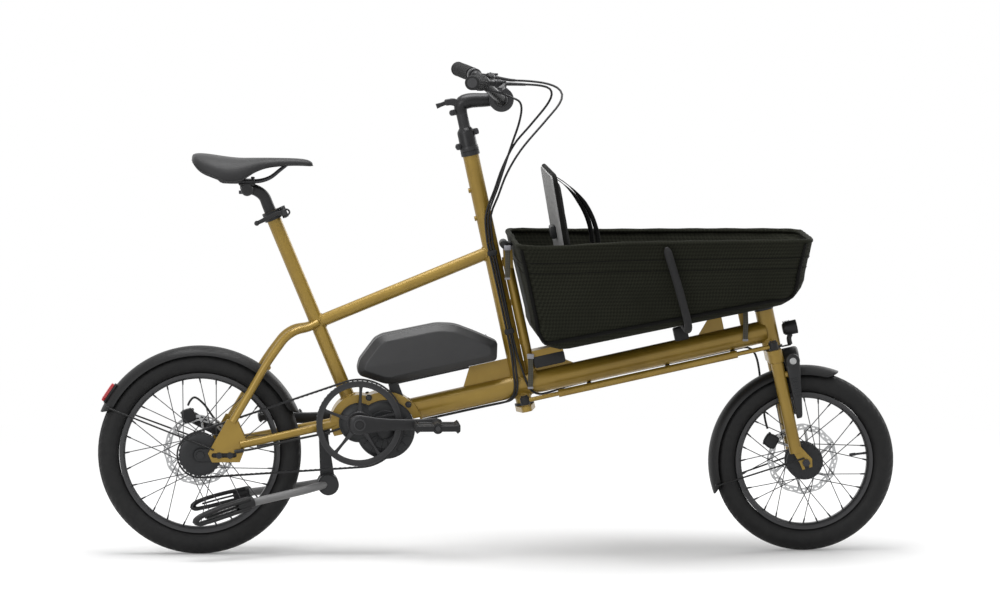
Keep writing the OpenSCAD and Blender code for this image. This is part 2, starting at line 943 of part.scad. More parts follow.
module drive_belt() {
  run = [bb_run, bb_height - rear_tyre_r];
  color(BLACK)
    translate(rear_axle_p)
      rotate([0, -atan2(run[1], run[0]), 0])
        side_plate(-belt_line - belt_w / 2, belt_w)
          difference() {
            link2d(norm(run), sprocket_r + belt_t, ring_r + belt_t, $fn = 96);
            link2d(norm(run), sprocket_r, ring_r, $fn = 96);
          }
}

module rear_sprocket() {
  color(BLACK)
    wheel_frame(rear_axle_p)
      translate([0, 0, belt_line - belt_w / 2])
        difference() {
          union() {
            cylinder(h = belt_w, r = sprocket_r - gap, $fn = 96);
            translate([0, 0, belt_w - 1])
              cylinder(h = 1.4, r = sprocket_r - 3);
          }
          translate([0, 0, -1])
            cylinder(h = belt_w + 4, r = journal_r + 2 * fit);
        }
}

module belt_ring() {
  color(BLACK)
    wheel_frame(bb_p)
      translate([0, 0, belt_line - belt_w / 2])
        difference() {
          union() {
            difference() {
              cylinder(h = belt_w, r = ring_r - gap, $fn = 96);
              translate([0, 0, -1])
                cylinder(h = belt_w + 2, r = ring_r - 12, $fn = 96);
            }
            for (i = [0 : 4])
              rotate(72 * i + 15)
                translate([crank_axle_r + 10, -3.5, 2])
                  cube([ring_r - crank_axle_r - 20, 7, belt_w - 4]);
            cylinder(h = belt_w, r = crank_axle_r + 14);
          }
          translate([0, 0, -1])
            cylinder(h = belt_w + 2, r = crank_axle_r + fit);
        }
}

// Right crank points ahead and the left one back
module crank_set() {
  color(BLACK)
    wheel_frame(bb_p) {
      cylinder(h = 2 * crank_half + 2, r = crank_axle_r, center = true);
      for (side = [-1, 1])
        rotate(side > 0 ? 0 : 180)
          translate([0, 0, side > 0 ? crank_half : -crank_half - crank_t]) {
            linear_extrude(crank_t)
              link2d(crank_l, crank_boss_r, crank_tip_r);
            translate([crank_l, 0, side > 0 ? crank_t - 1 : -pedal_gap - pedal_w - 3])
              cylinder(h = pedal_gap + pedal_w + 4, r = pedal_axle_r);
          }
    }
}

pedal_gap = 4;

module pedal(side) {
  inner = crank_half + crank_t + pedal_gap;
  wheel_frame(bb_p)
    translate([side * crank_l, 0, side > 0 ? inner : -inner - pedal_w])
      difference() {
        translate([-pedal_l / 2, -pedal_t / 2, 0])
          cube([pedal_l, pedal_t, pedal_w]);
        translate([0, 0, -1])
          cylinder(h = pedal_w + 2, r = pedal_axle_r + fit);
        for (x = [-1, 1])
          translate([x * (pedal_l / 4 + 4) - pedal_l / 8, -pedal_t, pedal_w / 4])
            cube([pedal_l / 4, 2 * pedal_t, pedal_w / 2]);
      }
}

module pedal_right() {
  color(BLACK) pedal(1);
}

module pedal_left() {
  color(BLACK) pedal(-1);
}

// Seat

seat_top = on_seat(seat_tube_l);
post_bend = on_seat(seat_tube_l + 36);
saddle_top = post_bend[2] + seat_rise;
rail_z = saddle_top - 60;
rail_r = 3.5;
post_head_r = 14;
saddle_edge_r = 14;
saddle_nose_r = 8;
recess_z = saddle_top - 49;
head_x = post_bend[0] - rear_axle_x - seat_setback;
saddle_rear = head_x - 121;
wing_x = head_x - 37;
post_head = at(head_x, 0, rail_z - rail_r - post_head_r - fit);

module seat_post() {
  color(BLACK) {
    bar(on_seat(seat_tube_l - 150), post_bend, post_seat_r);
    translate(post_bend)
      sphere(post_seat_r + 0.6);
    bar(post_bend, post_head, post_seat_r - 1);
    bar(post_head - [0, 29, 0], post_head + [0, 29, 0], post_head_r);
  }
}

module saddle() {
  wing_y = saddle_w / 2 - saddle_edge_r;
  color(FABRIC)
    difference() {
      hull() {
        for (side = [-1, 1]) {
          translate(at(saddle_rear + saddle_edge_r, side * wing_y / 2, saddle_top - saddle_edge_r))
            sphere(saddle_edge_r, $fn = 32);
          translate(at(wing_x - 35, side * wing_y, saddle_top - saddle_h / 2))
            sphere(saddle_edge_r, $fn = 32);
          translate(at(wing_x, side * wing_y, saddle_top - saddle_h - 6 + saddle_edge_r))
            sphere(saddle_edge_r, $fn = 32);
        }
        translate(at(saddle_rear + saddle_l - saddle_nose_r, 0, saddle_top - 17 - saddle_nose_r))
          sphere(saddle_nose_r, $fn = 32);
      }
      translate(at(head_x - 77, -46, recess_z - 60))
        cube([180, 92, 60]);
    }
}

module saddle_rails() {
  color(STEEL) {
    for (side = [-1, 1]) {
      bar(at(head_x - 59, side * 24, rail_z), at(head_x + 33, side * 22, rail_z), rail_r);
      bar(at(head_x + 33, side * 22, rail_z), at(head_x + 85, side * 8, rail_z + 6), rail_r);
      translate(at(head_x + 33, side * 22, rail_z))
        sphere(rail_r + 0.4);
      bar(at(head_x - 53, side * 24, rail_z), at(head_x - 53, side * 24, recess_z - gap), rail_r + 0.4);
    }
    translate(at(head_x - 15, -26, rail_z))
      cube([30, 52, 4.5]);
  }
}

// Collar at the top of the seat tube, with an ear ahead of it for the quick lever
collar_r = 20;
collar_h = 20;
lever_pivot = on_seat(seat_tube_l - collar_h / 2) + [collar_r + 6, 0, 8];
lever_tip = lever_pivot + [-58, -10, -22];
lever_y = -24;

module seat_clamp_lever() {
  color(BLACK)
    difference() {
      union() {
        bar(lever_pivot + [0, lever_y, 0], lever_tip + [0, lever_y, 0], 4.5);
        translate(lever_pivot + [0, lever_y, 0])
          rotate([0, seat_angle - 90, 0])
            cylinder(h = 14, r = 8, center = true);
      }
      translate(lever_pivot + [0, lever_y, 0])
        rotate([0, seat_angle - 90, 0])
          cylinder(h = 40, r = pin_r + fit, center = true);
    }
}

pin_r = 3;

// Steering

cup_h = 5;
rear_cup_r = 22;
front_cup_r = 24;
arm_top = head_down + cup_h + gap;
arm_t = 12;
tie_eye_half = 8;
tie_low = tie_drop + tie_eye_half + gap;
tie_high = -tie_drop + tie_eye_half + gap;

// Pin that carries one eye of the tie rod, standing up from the level under it
module tie_pin(s, base) {
  translate([s, -steer_arm, 0]) {
    translate([0, 0, -base])
      cylinder(h = base + tie_high + 2, r = tie_pin_r);
    translate([0, 0, -base - 1])
      cylinder(h = base + 1 - tie_low, r = tie_pin_r + 4);
    translate([0, 0, tie_high])
      cylinder(h = 5, r = tie_pin_r + 3, $fn = 6);
  }
}

module steerer() {
  color(BLACK)
    boom_frame() {
      translate([rear_head_run, 0, -arm_top - arm_t])
        cylinder(h = arm_top + arm_t + head_up + column_grip, r = steerer_r);
      translate([rear_head_run, 0, -arm_top - arm_t])
        linear_extrude(arm_t)
          rotate(-90)
            link2d(steer_arm, rear_cup_r, 12);
      tie_pin(rear_head_run, arm_top);
    }
}

// Length of steerer held inside the stem's sleeve
column_grip = 55;
sleeve_r = 19.5;
bar_c = on_boom(rear_head_run + stem_reach, 0, head_up + column_l + stem_rise);

module stem() {
  elbow = on_boom(rear_head_run, 0, head_up + column_l);
  ear = on_boom(stem_lever_s, 0, stem_lever_h);
  color(BLACK)
    difference() {
      union() {
        boom_frame() {
          translate([rear_head_run, 0, head_up + 10 + gap])
            cylinder(h = column_grip - 2, r = sleeve_r);
          translate([rear_head_run, 0, head_up + column_grip])
            cylinder(h = column_l - column_grip, r = column_r);
          for (h = [24, 46])
            translate([rear_head_run - sleeve_r - 3, -10, head_up + h])
              rotate([-90, 0, 0])
                cylinder(h = 20, r = bolt_r);
          translate([rear_head_run - sleeve_r - 3, -7, head_up + 16])
            cube([8, 14, 38]);
        }
        translate(elbow)
          sphere(column_r + 4);
        bar(elbow, bar_c, column_r + 2);
        bar(bar_c - [0, 25, 0], bar_c + [0, 25, 0], bar_clamp_r + 6);
        for (side = [-1, 1])
          hull() {
            translate(ear + [0, side * 8, 0])
              rotate([90, 0, 0])
                cylinder(h = 4, r = 7, center = true, $fn = 32);
            translate(elbow + [0, side * 8, 0])
              rotate([90, 0, 0])
                cylinder(h = 4, r = 7, center = true, $fn = 32);
          }
        bar(ear - [0, 8, 0], ear + [0, 8, 0], pin_r);
      }
      bar(bar_c - [0, 40, 0], bar_c + [0, 40, 0], bar_clamp_r + fit);
      boom_frame()
        translate([rear_head_run, 0, head_up])
          cylinder(h = column_grip + gap, r = steerer_r + fit);
    }
}

// Pivot of the lever behind the top of the stem
stem_lever_s = 348;
stem_lever_h = 656;

module stem_lever() {
  color(BLACK)
    boom_frame()
      translate([stem_lever_s, 0, stem_lever_h])
        difference() {
          side_plate(-5, 10)
            union() {
              circle(6.5);
              rotate(188)
                link2d(20, 5, 6);
            }
          rotate([90, 0, 0])
            cylinder(h = 20, r = pin_r + fit, center = true);
        }
}

// The bar bends at a knee on each side and runs straight through the grips
knee_half = 150;
bar_clamp_half = 45;
knee = bar_c + [-knee_back, knee_half, bar_rise - 8];
bar_end = bar_c + [-knee_back - bar_sweep, bar_half, bar_rise];
along_bar = unit(bar_end - knee);

function side_of(p, side) = [p[0], side * p[1], p[2]];
function on_grip(d) = knee + d * along_bar;

module bar_core(grow = 0) {
  bar(bar_c - [0, bar_clamp_half, 0], bar_c + [0, bar_clamp_half, 0], bar_clamp_r + grow);
  for (side = [-1, 1]) {
    shoulder = bar_c + [0, side * bar_clamp_half, 0];
    ball(shoulder, side_of(knee, side), bar_clamp_r - 1.4 + grow);
    bar(shoulder, side_of(knee, side), bar_r + grow);
    ball(side_of(knee, side), side_of(bar_end, side), bar_r + grow + 1.2);
    bar(side_of(knee, side), side_of(bar_end, side), bar_r + grow);
  }
}

module handlebar() {
  color(BLACK) bar_core();
}

bar_run = norm(bar_end - knee);
grip_from = bar_run - grip_l;
clamp_at = grip_from - 18;

module grip_sleeve(side, from, to, r) {
  difference() {
    bar(side_of(on_grip(from), side), side_of(on_grip(to), side), r);
    bar(side_of(on_grip(from - 5), side), side_of(on_grip(to + 5), side), bar_r + fit);
  }
}

module grips() {
  color(RUBBER) {
    grip_sleeve(1, grip_from, bar_run, grip_r);
    grip_sleeve(-1, grip_from + shifter_l + gap, bar_run, grip_r);
  }
}

module shift_grip() {
  color(RUBBER) grip_sleeve(-1, grip_from, grip_from + shifter_l, grip_r + 2);
}

// Lever pivots ahead of the bar, and the lever tips
lever_reach = 46;
lever_eye = on_grip(clamp_at) + [lever_reach, 0, -6];
lever_end = lever_eye + [-12, 104, -4];

module controls() {
  color(BLACK) {
    difference() {
      for (side = [-1, 1]) {
        ring = side_of(on_grip(clamp_at), side);
        eye = side_of(lever_eye, side);
        bar(side_of(on_grip(clamp_at - 8), side), side_of(on_grip(clamp_at + 8), side), bar_r + 5);
        bar(ring, eye + [-14, 0, 2], 6);
        bar(eye + [-12, side * 4, 2], eye + [-8, -side * 52, 4], 9);
        translate(eye + [-18, -8, 5.4])
          cube([26, 16, 5]);
        translate(eye + [0, 0, -7])
          cylinder(h = 14, r = pin_r);
      }
      bar_core(fit);
      for (side = [-1, 1])
        translate(side_of(lever_eye, side) + [0, 0, -5])
          difference() {
            cylinder(h = 10.4, r = 10);
            translate([0, 0, -1])
              cylinder(h = 12, r = pin_r);
          }
    }
    translate(bar_c + [-28, -28, bar_clamp_r + 6 + gap])
      cube([40, 56, 12]);
    for (y = [-36, 28])
      difference() {
        translate(bar_c + [0, y, 0])
          rotate([-90, 0, 0])
            cylinder(h = 8, r = bar_clamp_r + 12);
        bar_core(fit);
      }
  }
}

module brake_lever(side) {
  eye = side_of(lever_eye, side);
  tip = side_of(lever_end, side);
  difference() {
    union() {
      translate(eye + [0, 0, -4.5])
        cylinder(h = 9, r = 8);
      bar(eye, tip, 4.2);
      translate(tip)
        sphere(5.5);
    }
    translate(eye + [0, 0, -20])
      cylinder(h = 40, r = pin_r + fit);
  }
}

module brake_lever_left() {
  color(STEEL) brake_lever(1);
}

module brake_lever_right() {
  color(STEEL) brake_lever(-1);
}

// The tie rod's sleeve lies between the two threaded ends
tie_sleeve = [450, 860];

module tie_rod() {
  run = front_head_run - rear_head_run;
  color(BLACK)
    boom_frame()
      translate([rear_head_run, -steer_arm, -tie_drop])
        difference() {
          union() {
            for (s = [0, run])
              translate([s, 0, -tie_eye_half])
                cylinder(h = 2 * tie_eye_half, r = tie_eye_r);
            rotate([0, 90, 0])
              cylinder(h = run, r = tie_r - 3.5);
            translate([tie_sleeve[0] - rear_head_run, 0, 0])
              rotate([0, 90, 0])
                cylinder(h = tie_sleeve[1] - tie_sleeve[0], r = tie_r);
          }
          for (s = [0, run])
            translate([s, 0, -20])
              cylinder(h = 40, r = tie_pin_r + fit);
        }
}

crown_top = front_head_down + cup_h + gap;
blade_low = axle_h + 26;
drop_t = 5;

module blade_core(grow = 0) {
  for (side = [-1, 1])
    translate([front_head_run, side * blade_half, blade_low])
      cylinder(h = -crown_top - blade_low - 4, r = blade_r + grow);
}

module fork() {
  lead = axle_s - front_head_run;
  color(GOLD)
    boom_frame()
      difference() {
        union() {
          blade_core();
          translate([front_head_run, -blade_half, -crown_top - crown_t])
            linear_extrude(crown_t)
              rotate(90)
                link2d(2 * blade_half, blade_r + 3, blade_r + 3);
          translate([front_head_run, 0, -crown_top])
            cylinder(h = crown_top + front_head_up - 1, r = steerer_r);
          tie_pin(front_head_run, crown_top);
          for (y = [-front_drop_half - drop_t, front_drop_half])
            side_plate(y, drop_t)
              polygon([
                [front_head_run - 10, blade_low + 14], [front_head_run + 11, blade_low + 14],
                [axle_s + 15, axle_h + 6], [axle_s + 12, axle_h - 12], [axle_s - 11, axle_h - 14],
                [axle_s - 14, axle_h + 2]]);
        }
        translate([axle_s, 0, axle_h])
          rotate([90, 0, 0])
            cylinder(h = 200, r = axle_r + 2 * fit, center = true);
        translate([axle_s - axle_r - 2 * fit, -100, axle_h - 30])
          cube([2 * axle_r + 4 * fit, 200, 30]);
      }
}

module front_axle() {
  color(STEEL)
    wheel_frame(front_axle_p) {
      cylinder(h = 2 * (front_drop_half + drop_t + 8), r = axle_r, center = true);
      for (side = [-1, 1])
        translate([0, 0, side > 0 ? front_drop_half + drop_t + fit : -front_drop_half - drop_t - fit - 7])
          cylinder(h = 7, r = 9, $fn = 6);
    }
}

front_fender_from = 69;
front_fender_to = 200;

module front_fender() {
  tail_r = front_fender_r - fender_depth / 2;
  tail_a = front_fender_to - 5;
  tail = front_axle_p + tail_r * [cos(tail_a), 0, sin(tail_a)];
  foot = front_drop_half + drop_t + stay_r + 4 * gap;
  color(BLACK) {
    wheel_frame(front_axle_p)
      fender_arc(front_fender_r, front_fender_from, front_fender_to);
    for (side = [-1, 1]) {
      bar(
        tail + [0, side * (fender_crown + 1), 0],
        front_axle_p + [-4, side * foot, 11], stay_r);
      bar(tail + [0, side * (fender_crown - 6), 0], tail + [0, side * (fender_crown + 3), 0], stay_r + 2);
    }
    difference() {
      boom_frame()
        translate([front_head_run - 6, -7, -crown_top - crown_t - gap - 24])
          cube([12, 14, 24]);
      wheel_frame(front_axle_p)
        cylinder(h = 60, r = front_fender_r - 1, center = true, $fn = 96);
    }
  }
}

// Ring lock in front of the blades
lock_s = front_head_run + blade_r + 4;
lock_top = crown_top + 5;
lock_inner = 38;
lug_h = -100;

module ring_lock() {
  color(BLACK)
    difference() {
      boom_frame()
        union() {
          translate([lock_s, 0, 0])
            rotate([90, 0, 90])
              linear_extrude(lock_t)
                difference() {
                  union() {
                    translate([0, -lock_top - lock_half])
                      circle(lock_half);
                    polygon([
                      [-lock_half, -lock_top - lock_half], [lock_half, -lock_top - lock_half],
                      [lock_half - 6, -lock_top - lock_h], [-lock_half + 6, -lock_top - lock_h]]);
                  }
                  translate([0, -lock_top - lock_half])
                    circle(lock_inner);
                  translate([-lock_inner, -lock_top - lock_h - 10])
                    square([2 * lock_inner, lock_h + 10 - lock_half]);
                }
          translate([lock_s + lock_t - 1, 0, -lock_top - 15])
            rotate([0, 90, 0])
              cylinder(h = 10, r = 11);
          for (side = [-1, 1])
            translate([front_head_run, side * blade_half, lug_h])
              rotate([0, 90, 0])
                cylinder(h = lock_s - front_head_run + 1, r = 7);
        }
      boom_frame()
        blade_core(fit);
    }
}

// Headlight on a tongue that runs forward from the crown over the lock
light_s = lock_s + 13;
light_l = 34;
light_r = 16;

module headlight() {
  color(BLACK)
    boom_frame() {
      difference() {
        translate([front_head_run + 8, -9, -crown_top + gap / 4 - 1])
          cube([lock_s + lock_t - front_head_run - 8, 18, 1]);
        translate([front_head_run, 0, -100])
          cylinder(h = 200, r = front_cup_r + 1);
      }
      translate([lock_s + lock_t - 3, -9, -crown_top + gap / 4 - 1])
        cube([3, 18, crown_top - light_r + 6]);
      translate([light_s, 0, -4])
        rotate([0, 90, 0])
          cylinder(h = light_l, r = light_r);
    }
}

front_caliper_a = 150;

module front_caliper() {
  far = rotor_r * [cos(front_caliper_a), 0, sin(front_caliper_a)];
  hold = front_axle_p + 1.06 * far + [0, blade_half - 3, 0];
  color(BLACK)
    difference() {
      union() {
        wheel_frame(front_axle_p)
          rotate(front_caliper_a)
            caliper(front_rotor_y, 5, 17);
        bar(hold, on_boom(front_head_run, blade_half, axle_h + 62), 6);
      }
      boom_frame()
        blade_core(fit);
    }
}

// Basket and straps

basket_front = basket_rear + basket_l;
rear_corner = 50;
front_corner = 60;
low_rear_r = 40;
low_front_r = 68;
low_front_reach = 50;
low_rear_half = 200;
low_front_half = 130;
low_front_x = bottom_rear_x + bottom_run + low_front_reach - low_front_r;
low_rear_z = basket_bottom_z + low_rear_r;

function share(x, x0, run, a, b) = a + (b - a) * (x - x0) / run;
function rim_half(x) = share(x, basket_rear, basket_l, basket_rear_w / 2, basket_front_w / 2);
function low_half(x) = share(x, bottom_rear_x, bottom_run, low_rear_half, low_front_half);
function bottom_z(x) = basket_bottom_z + bottom_slope * (x - bottom_rear_x);

// Both lower corners touch the same sloping floor
low_front_z = bottom_z(low_front_x) + low_rear_r + (low_front_r - low_rear_r) / cos(atan(bottom_slope));

module rim_outline(grow) {
  hull()
    for (side = [-1, 1]) {
      translate([rear_axle_x + basket_rear + rear_corner, side * (basket_rear_w / 2 - rear_corner)])
        circle(rear_corner + grow);
      translate([rear_axle_x + basket_front - front_corner, side * (basket_front_w / 2 - front_corner)])
        circle(front_corner + grow);
    }
}

module basket_body(grow, rise) {
  hull() {
    translate([0, 0, rim_z - 10])
      linear_extrude(10 + rise)
        rim_outline(grow);
    for (side = [-1, 1]) {
      translate(at(bottom_rear_x, side * (low_rear_half - low_rear_r), low_rear_z))
        sphere(low_rear_r + grow, $fn = 32);
      translate(at(low_front_x, side * (low_front_half - low_front_r), low_front_z))
        sphere(low_front_r + grow, $fn = 32);
    }
  }
}

module basket() {
  color("#35352C")
    difference() {
      basket_body(0, 0);
      basket_body(-basket_t, 1);
    }
}

// The hoop runs from rim to rim under the basket
hoop_top_x = 1030;
hoop_low_x = 1086;

// The hoop leans forward evenly from the rim down to the basket's lower corner
function hoop_x(z) =
  share(max(z, bottom_z(hoop_low_x)), rim_z, bottom_z(hoop_low_x) - rim_z, hoop_top_x, hoop_low_x);

// Bends of the hoop outside and above the basket's lower corner
hoop_bends = [[36, 79], [25, 58], [9.5, 32], [-7, 9], [-26, -5], [-41, -10]];

module basket_rim() {
  corner_y = low_half(hoop_low_x);
  corner_z = bottom_z(hoop_low_x);
  side_y = 0.55 * rim_half(hoop_top_x) + 0.45 * corner_y + hoop_r + 6;
  side_z = 0.55 * rim_z + 0.45 * corner_z;
  half = concat(
    [at(hoop_top_x, rim_half(hoop_top_x) + hoop_r + 2, rim_z - 4)],
    [at(hoop_x(side_z), side_y, side_z)],
    [for (b = hoop_bends) let (z = corner_z + b[1]) at(hoop_x(z), low_half(hoop_x(z)) + b[0], z)]);
  path = concat(half, [for (i = [len(half) - 1 : -1 : 0]) mirrored(half[i])]);
  color(BLACK) {
    translate([0, 0, rim_z + gap / 2])
      linear_extrude(2 * rim_roll_r)
        difference() {
          rim_outline(rim_roll_r - basket_t / 2);
          rim_outline(-rim_roll_r - basket_t / 2);
        }
    sweep(path, hoop_r, 16, [1, 0, 0]);
  }
}

// Shoulder straps hang in an arc from the top of the backrest
harness_c = [704.5, 684];
harness_r = 186;
harness_from = -45;
harness_to = 61.4;
harness_w = 30;
harness_y = 60;

module webbing() {
  color(FABRIC) {
    for (y = [-harness_y, harness_y])
      translate(at(harness_c[0], y, harness_c[1]))
        rotate([90, 0, 0])
          rotate(harness_from)
            rotate_extrude(angle = harness_to - harness_from, $fn = 96)
              translate([harness_r - strap_t / 2, -harness_w / 2])
                square([strap_t, harness_w]);
    translate(at(basket_rear - strap_t - gap / 2, -3 * strap_w, rim_z - 86))
      cube([strap_t, strap_w, 86 - gap]);
    boom_frame() {
      translate([block_s[0], -block_half - strap_t - fit, -16])
        cube([strap_w, strap_t, 104]);
      translate([front_post_s[0] + 3, -boom_r - strap_t - fit, -10])
        cube([strap_w, strap_t, 60]);
    }
  }
}

// The backrest leans back and stands on two legs inside the basket
backrest_top = [775, 857];
backrest_lean = 9.5;
backrest_leg_y = 140;
backrest_leg_w = 16;

module backrest() {
  foot_x = backrest_top[0] + backrest_h * sin(backrest_lean) + backrest_t / 2;
  floor_z = bottom_z(foot_x) + basket_t + 2 * gap;
  color(GREY)
    translate(at(backrest_top[0], 0, backrest_top[1]))
      rotate([0, -backrest_lean, 0])
        translate([0, -backrest_w / 2, -backrest_h])
          cube([backrest_t, backrest_w, backrest_h]);
  color(BLACK)
    for (y = [-backrest_leg_y, backrest_leg_y])
      difference() {
        translate(at(foot_x - 5, y - backrest_leg_w / 2, floor_z))
          cube([10, backrest_leg_w, backrest_top[1] - backrest_h - floor_z + 30]);
        translate(at(backrest_top[0], 0, backrest_top[1]))
          rotate([0, -backrest_lean, 0])
            translate([0, -backrest_w / 2, -backrest_h])
              cube([backrest_t, backrest_w, backrest_h]);
      }
}

// Cables, with points chosen by hand along each run
cable_y = -head_r - cable_r - gap;
cable_h = 330;
under_boom = -boom_r - cable_r - gap;

module steering_cables() {
  color(BLACK) {
    sweep([
      at(676, 150, 1057), at(704, 152, 1052), at(749, 160, 1049), at(787, 150, 1044),
      at(812, 120, 1034), at(819, 100, 1021), at(812, 80, 1003), at(782, 55, 969),
      at(720, 20, 900), at(688, 0, 849), at(668, -14, 800),
      on_boom(rear_head_run + 15, cable_y - 3, cable_h + 60),
      on_boom(rear_head_run + 6, cable_y, cable_h + 1)],
      cable_r, 8, [0, 1, 0]);
    sweep([
      at(676, -148, 1059), at(711, -150, 1058), at(750, -155, 1056), at(774, -140, 1049),
      at(782, -115, 1034), at(775, -90, 1012), at(736, -60, 960), at(704, -42, 920),
      at(677, -32, 866), at(661, -28, 820),
      on_boom(rear_head_run + 3, cable_y - 3, cable_h + 60),
      on_boom(rear_head_run - 6, cable_y, cable_h + 1)],
      cable_r, 8, [0, 1, 0]);
    sweep([
      at(640, -178, 1046), at(654, -176, 1043), at(670, -170, 1038), at(690, -150, 1029),
      at(710, -118, 1018), at(716, -95, 1001), at(712, -70, 968),
      at(698, -50, 922), at(682, -42, 872), at(667, -36, 824),
      on_boom(rear_head_run + 9, cable_y - 5, cable_h + 60), on_boom(rear_head_run, cable_y, cable_h + 1)],
      cable_r, 8, [0, 1, 0]);
  }
}

module frame_cables() {
  color(BLACK) {
    for (c = [-1, 0]) {
      s = rear_head_run + 6 * c;
      sweep([
        on_boom(s, cable_y, cable_h), on_boom(s, cable_y, 80), on_boom(s - 4, under_boom, 36),
        on_boom(s - 8, -28.6, 4), on_boom(s - 11, -28.4, -6), on_boom(s - 14, -26, -14),
        on_boom(s - 20, -22, -20),
        on_boom(s - 26, -17, -25), on_boom(s - 35, -11, -28), on_boom(s - 44, -6 + 3 * c, -28.6),
        on_boom(s - 80, 6 * c, under_boom - 0.5),
        on_boom(motor_run + motor_r + 1, 6 * c, under_boom - 0.5)],
        cable_r, 8, [0.2, 0, 1]);
    }
    sweep([
      on_boom(rear_head_run + 6, cable_y, cable_h), on_boom(rear_head_run + 6, cable_y, 80),
      on_boom(383, under_boom, 36), on_boom(387, -28.6, 4), on_boom(390, -28.4, -6), on_boom(393, -26, -14),
      on_boom(399, -22, -20), on_boom(405, -17, -25), on_boom(414, -11, -28), on_boom(426, -4, -28.8),
      on_boom(446, 5, -28.6), on_boom(474, 12, -26),
      on_boom(880, 12, -26)],
      cable_r, 8, [0.2, 0, 1]);
    sweep([
      at(314, -43, 284), at(286, -42, 275), at(200, -54, 258), at(140, -67, 246),
      at(112, -76, 241), at(98, -78, 239)],
      cable_r, 8, [0, 0, 1]);
    sweep([
      at(314, 43, 284), at(286, 42, 275), at(200, 54, 258), at(130, 70, 246),
      at(90, 84, 250), at(40, 86, 290),
      at(10, 82, 330), at(-10, 70, 345), at(-20, 60, 338), at(-25, 56, 328)],
      cable_r, 8, [0.3, 1, 0]);
  }
}

module front_hose() {
  color(BLACK)
    sweep([
      on_boom(881, 12, -26), on_boom(898, 14, under_boom - 4), on_boom(906, 22, -60),
      on_boom(904, 34, -110), on_boom(900, 44, -160), on_boom(896, 45, -200), on_boom(898, 44, -221)],
      cable_r, 8, [0, 1, 0]);
}

// Headset cups, seat collar, stand bracket, bolts and the gear cable stop

stand_pivot = at(278, 0, 256);
stand_pin_r = 5;
yoke_half = 13;
bracket_top = 278;

module cup(s, from, height, r) {
  boom_frame()
    translate([s, 0, from])
      difference() {
        cylinder(h = height, r = r);
        translate([0, 0, -1])
          cylinder(h = height + 2, r = steerer_r + fit);
      }
}

module frame_hardware() {
  along_seat = unit(on_seat(10) - on_seat(0));
  color(BLACK) {
    cup(rear_head_run, -head_down - cup_h, cup_h - fit, rear_cup_r);
    cup(rear_head_run, head_up + fit, 10 - fit, rear_cup_r - 1);
    cup(front_head_run, -front_head_down - cup_h, cup_h - fit, front_cup_r);
    boom_frame()
      translate([front_head_run, 0, front_head_up + fit])
        cylinder(h = 5, r = front_head_r + 1);
    difference() {
      union() {
        bar(on_seat(seat_tube_l - collar_h), on_seat(seat_tube_l), collar_r);
        bar(lever_pivot + [0, -4, 0] - 13 * along_seat, lever_pivot + [0, -4, 0] + 13 * along_seat, 7);
        bar(on_seat(seat_tube_l - collar_h / 2), lever_pivot + [0, -4, 0], 7);
      }
      seat_core();
      bar(on_seat(seat_tube_l - 60), on_seat(seat_tube_l + 10), seat_tube_r + fit);
    }
    for (side = [-1, 1])
      bar(
        lever_pivot + [0, -4, 0] + side * 10.2 * along_seat,
        lever_pivot + [0, lever_y, 0] + side * 10.2 * along_seat, 2.6);
    pin_at = lever_pivot + [0, lever_y, 0];
    bar(pin_at - 12 * along_seat, pin_at + 12 * along_seat, pin_r);
    difference() {
      union() {
        translate(at(262, -34, bracket_top - 9))
          cube([29, 68, 14]);
        for (y = [-yoke_half - gap - 6, yoke_half + gap])
          hull() {
            translate([stand_pivot[0], y + 6, stand_pivot[2]])
              rotate([90, 0, 0])
                cylinder(h = 6, r = 10, $fn = 32);
            translate([stand_pivot[0] - 10, y, bracket_top - 9])
              cube([20, 6, 4]);
          }
        bar(stand_pivot - [0, yoke_half + 8, 0], stand_pivot + [0, yoke_half + 8, 0], stand_pin_r);
      }
      bar(chain_stay_rear, chain_stay_front + [20, 0, 3], chain_stay_r + fit);
      bar(mirrored(chain_stay_rear), mirrored(chain_stay_front) + [20, 0, 3], chain_stay_r + fit);
      cradle_core();
    }
    boom_frame()
      for (p = [[34, 50], [117, 16]], side = [-1, 1])
        translate([p[0], side * (cradle_half + fit + 2), p[1]])
          rotate([90, 0, 0])
            cylinder(h = 4, r = bolt_r + 2, center = true);
    bar(at(97, -78, 239), at(76, -78, 236), 4.2);
  }
}

// Two-leg stand, folded back under the chain stays

stand_barrel = stand_pivot + [9, 0, -stand_yoke_l];
stand_joint = at(104, 118, 124);
stand_toe = at(-6, stand_half + 14, 92);
foot_r = 13;

module stand_legs() {
  drop = stand_barrel - stand_pivot;
  color(GREY)
    difference() {
      union() {
        translate(stand_pivot)
          rotate([0, -atan2(drop[2], drop[0]), 0])
            side_plate(-yoke_half, 2 * yoke_half)
              link2d(norm(drop), 10, 18);
        bar(stand_barrel - [0, 34, 0], stand_barrel + [0, 34, 0], stand_barrel_r);
        for (side = [-1, 1])
          bar(stand_barrel + [-6, side * 26, 0], side_of(stand_joint, side), stand_leg_r);
      }
      bar(stand_pivot - [0, 40, 0], stand_pivot + [0, 40, 0], stand_pin_r + fit);
    }
}

module stand_feet() {
  along_foot = unit(stand_toe - stand_joint);
  from = stand_joint + 0.4 * along_foot;
  color(BLACK)
    for (side = [-1, 1])
      difference() {
        union() {
          bar(side_of(from, side), side_of(stand_toe, side), foot_r);
          toe = side_of(stand_toe - 2 * along_foot, side);
          tip = side_of(stand_toe + foot_r * along_foot, side);
          taper(toe, tip, foot_r - 0.4, foot_r / 2);
        }
        bar(stand_barrel + [-6, side * 26, 0], side_of(stand_joint, side), stand_leg_r + fit);
      }
}

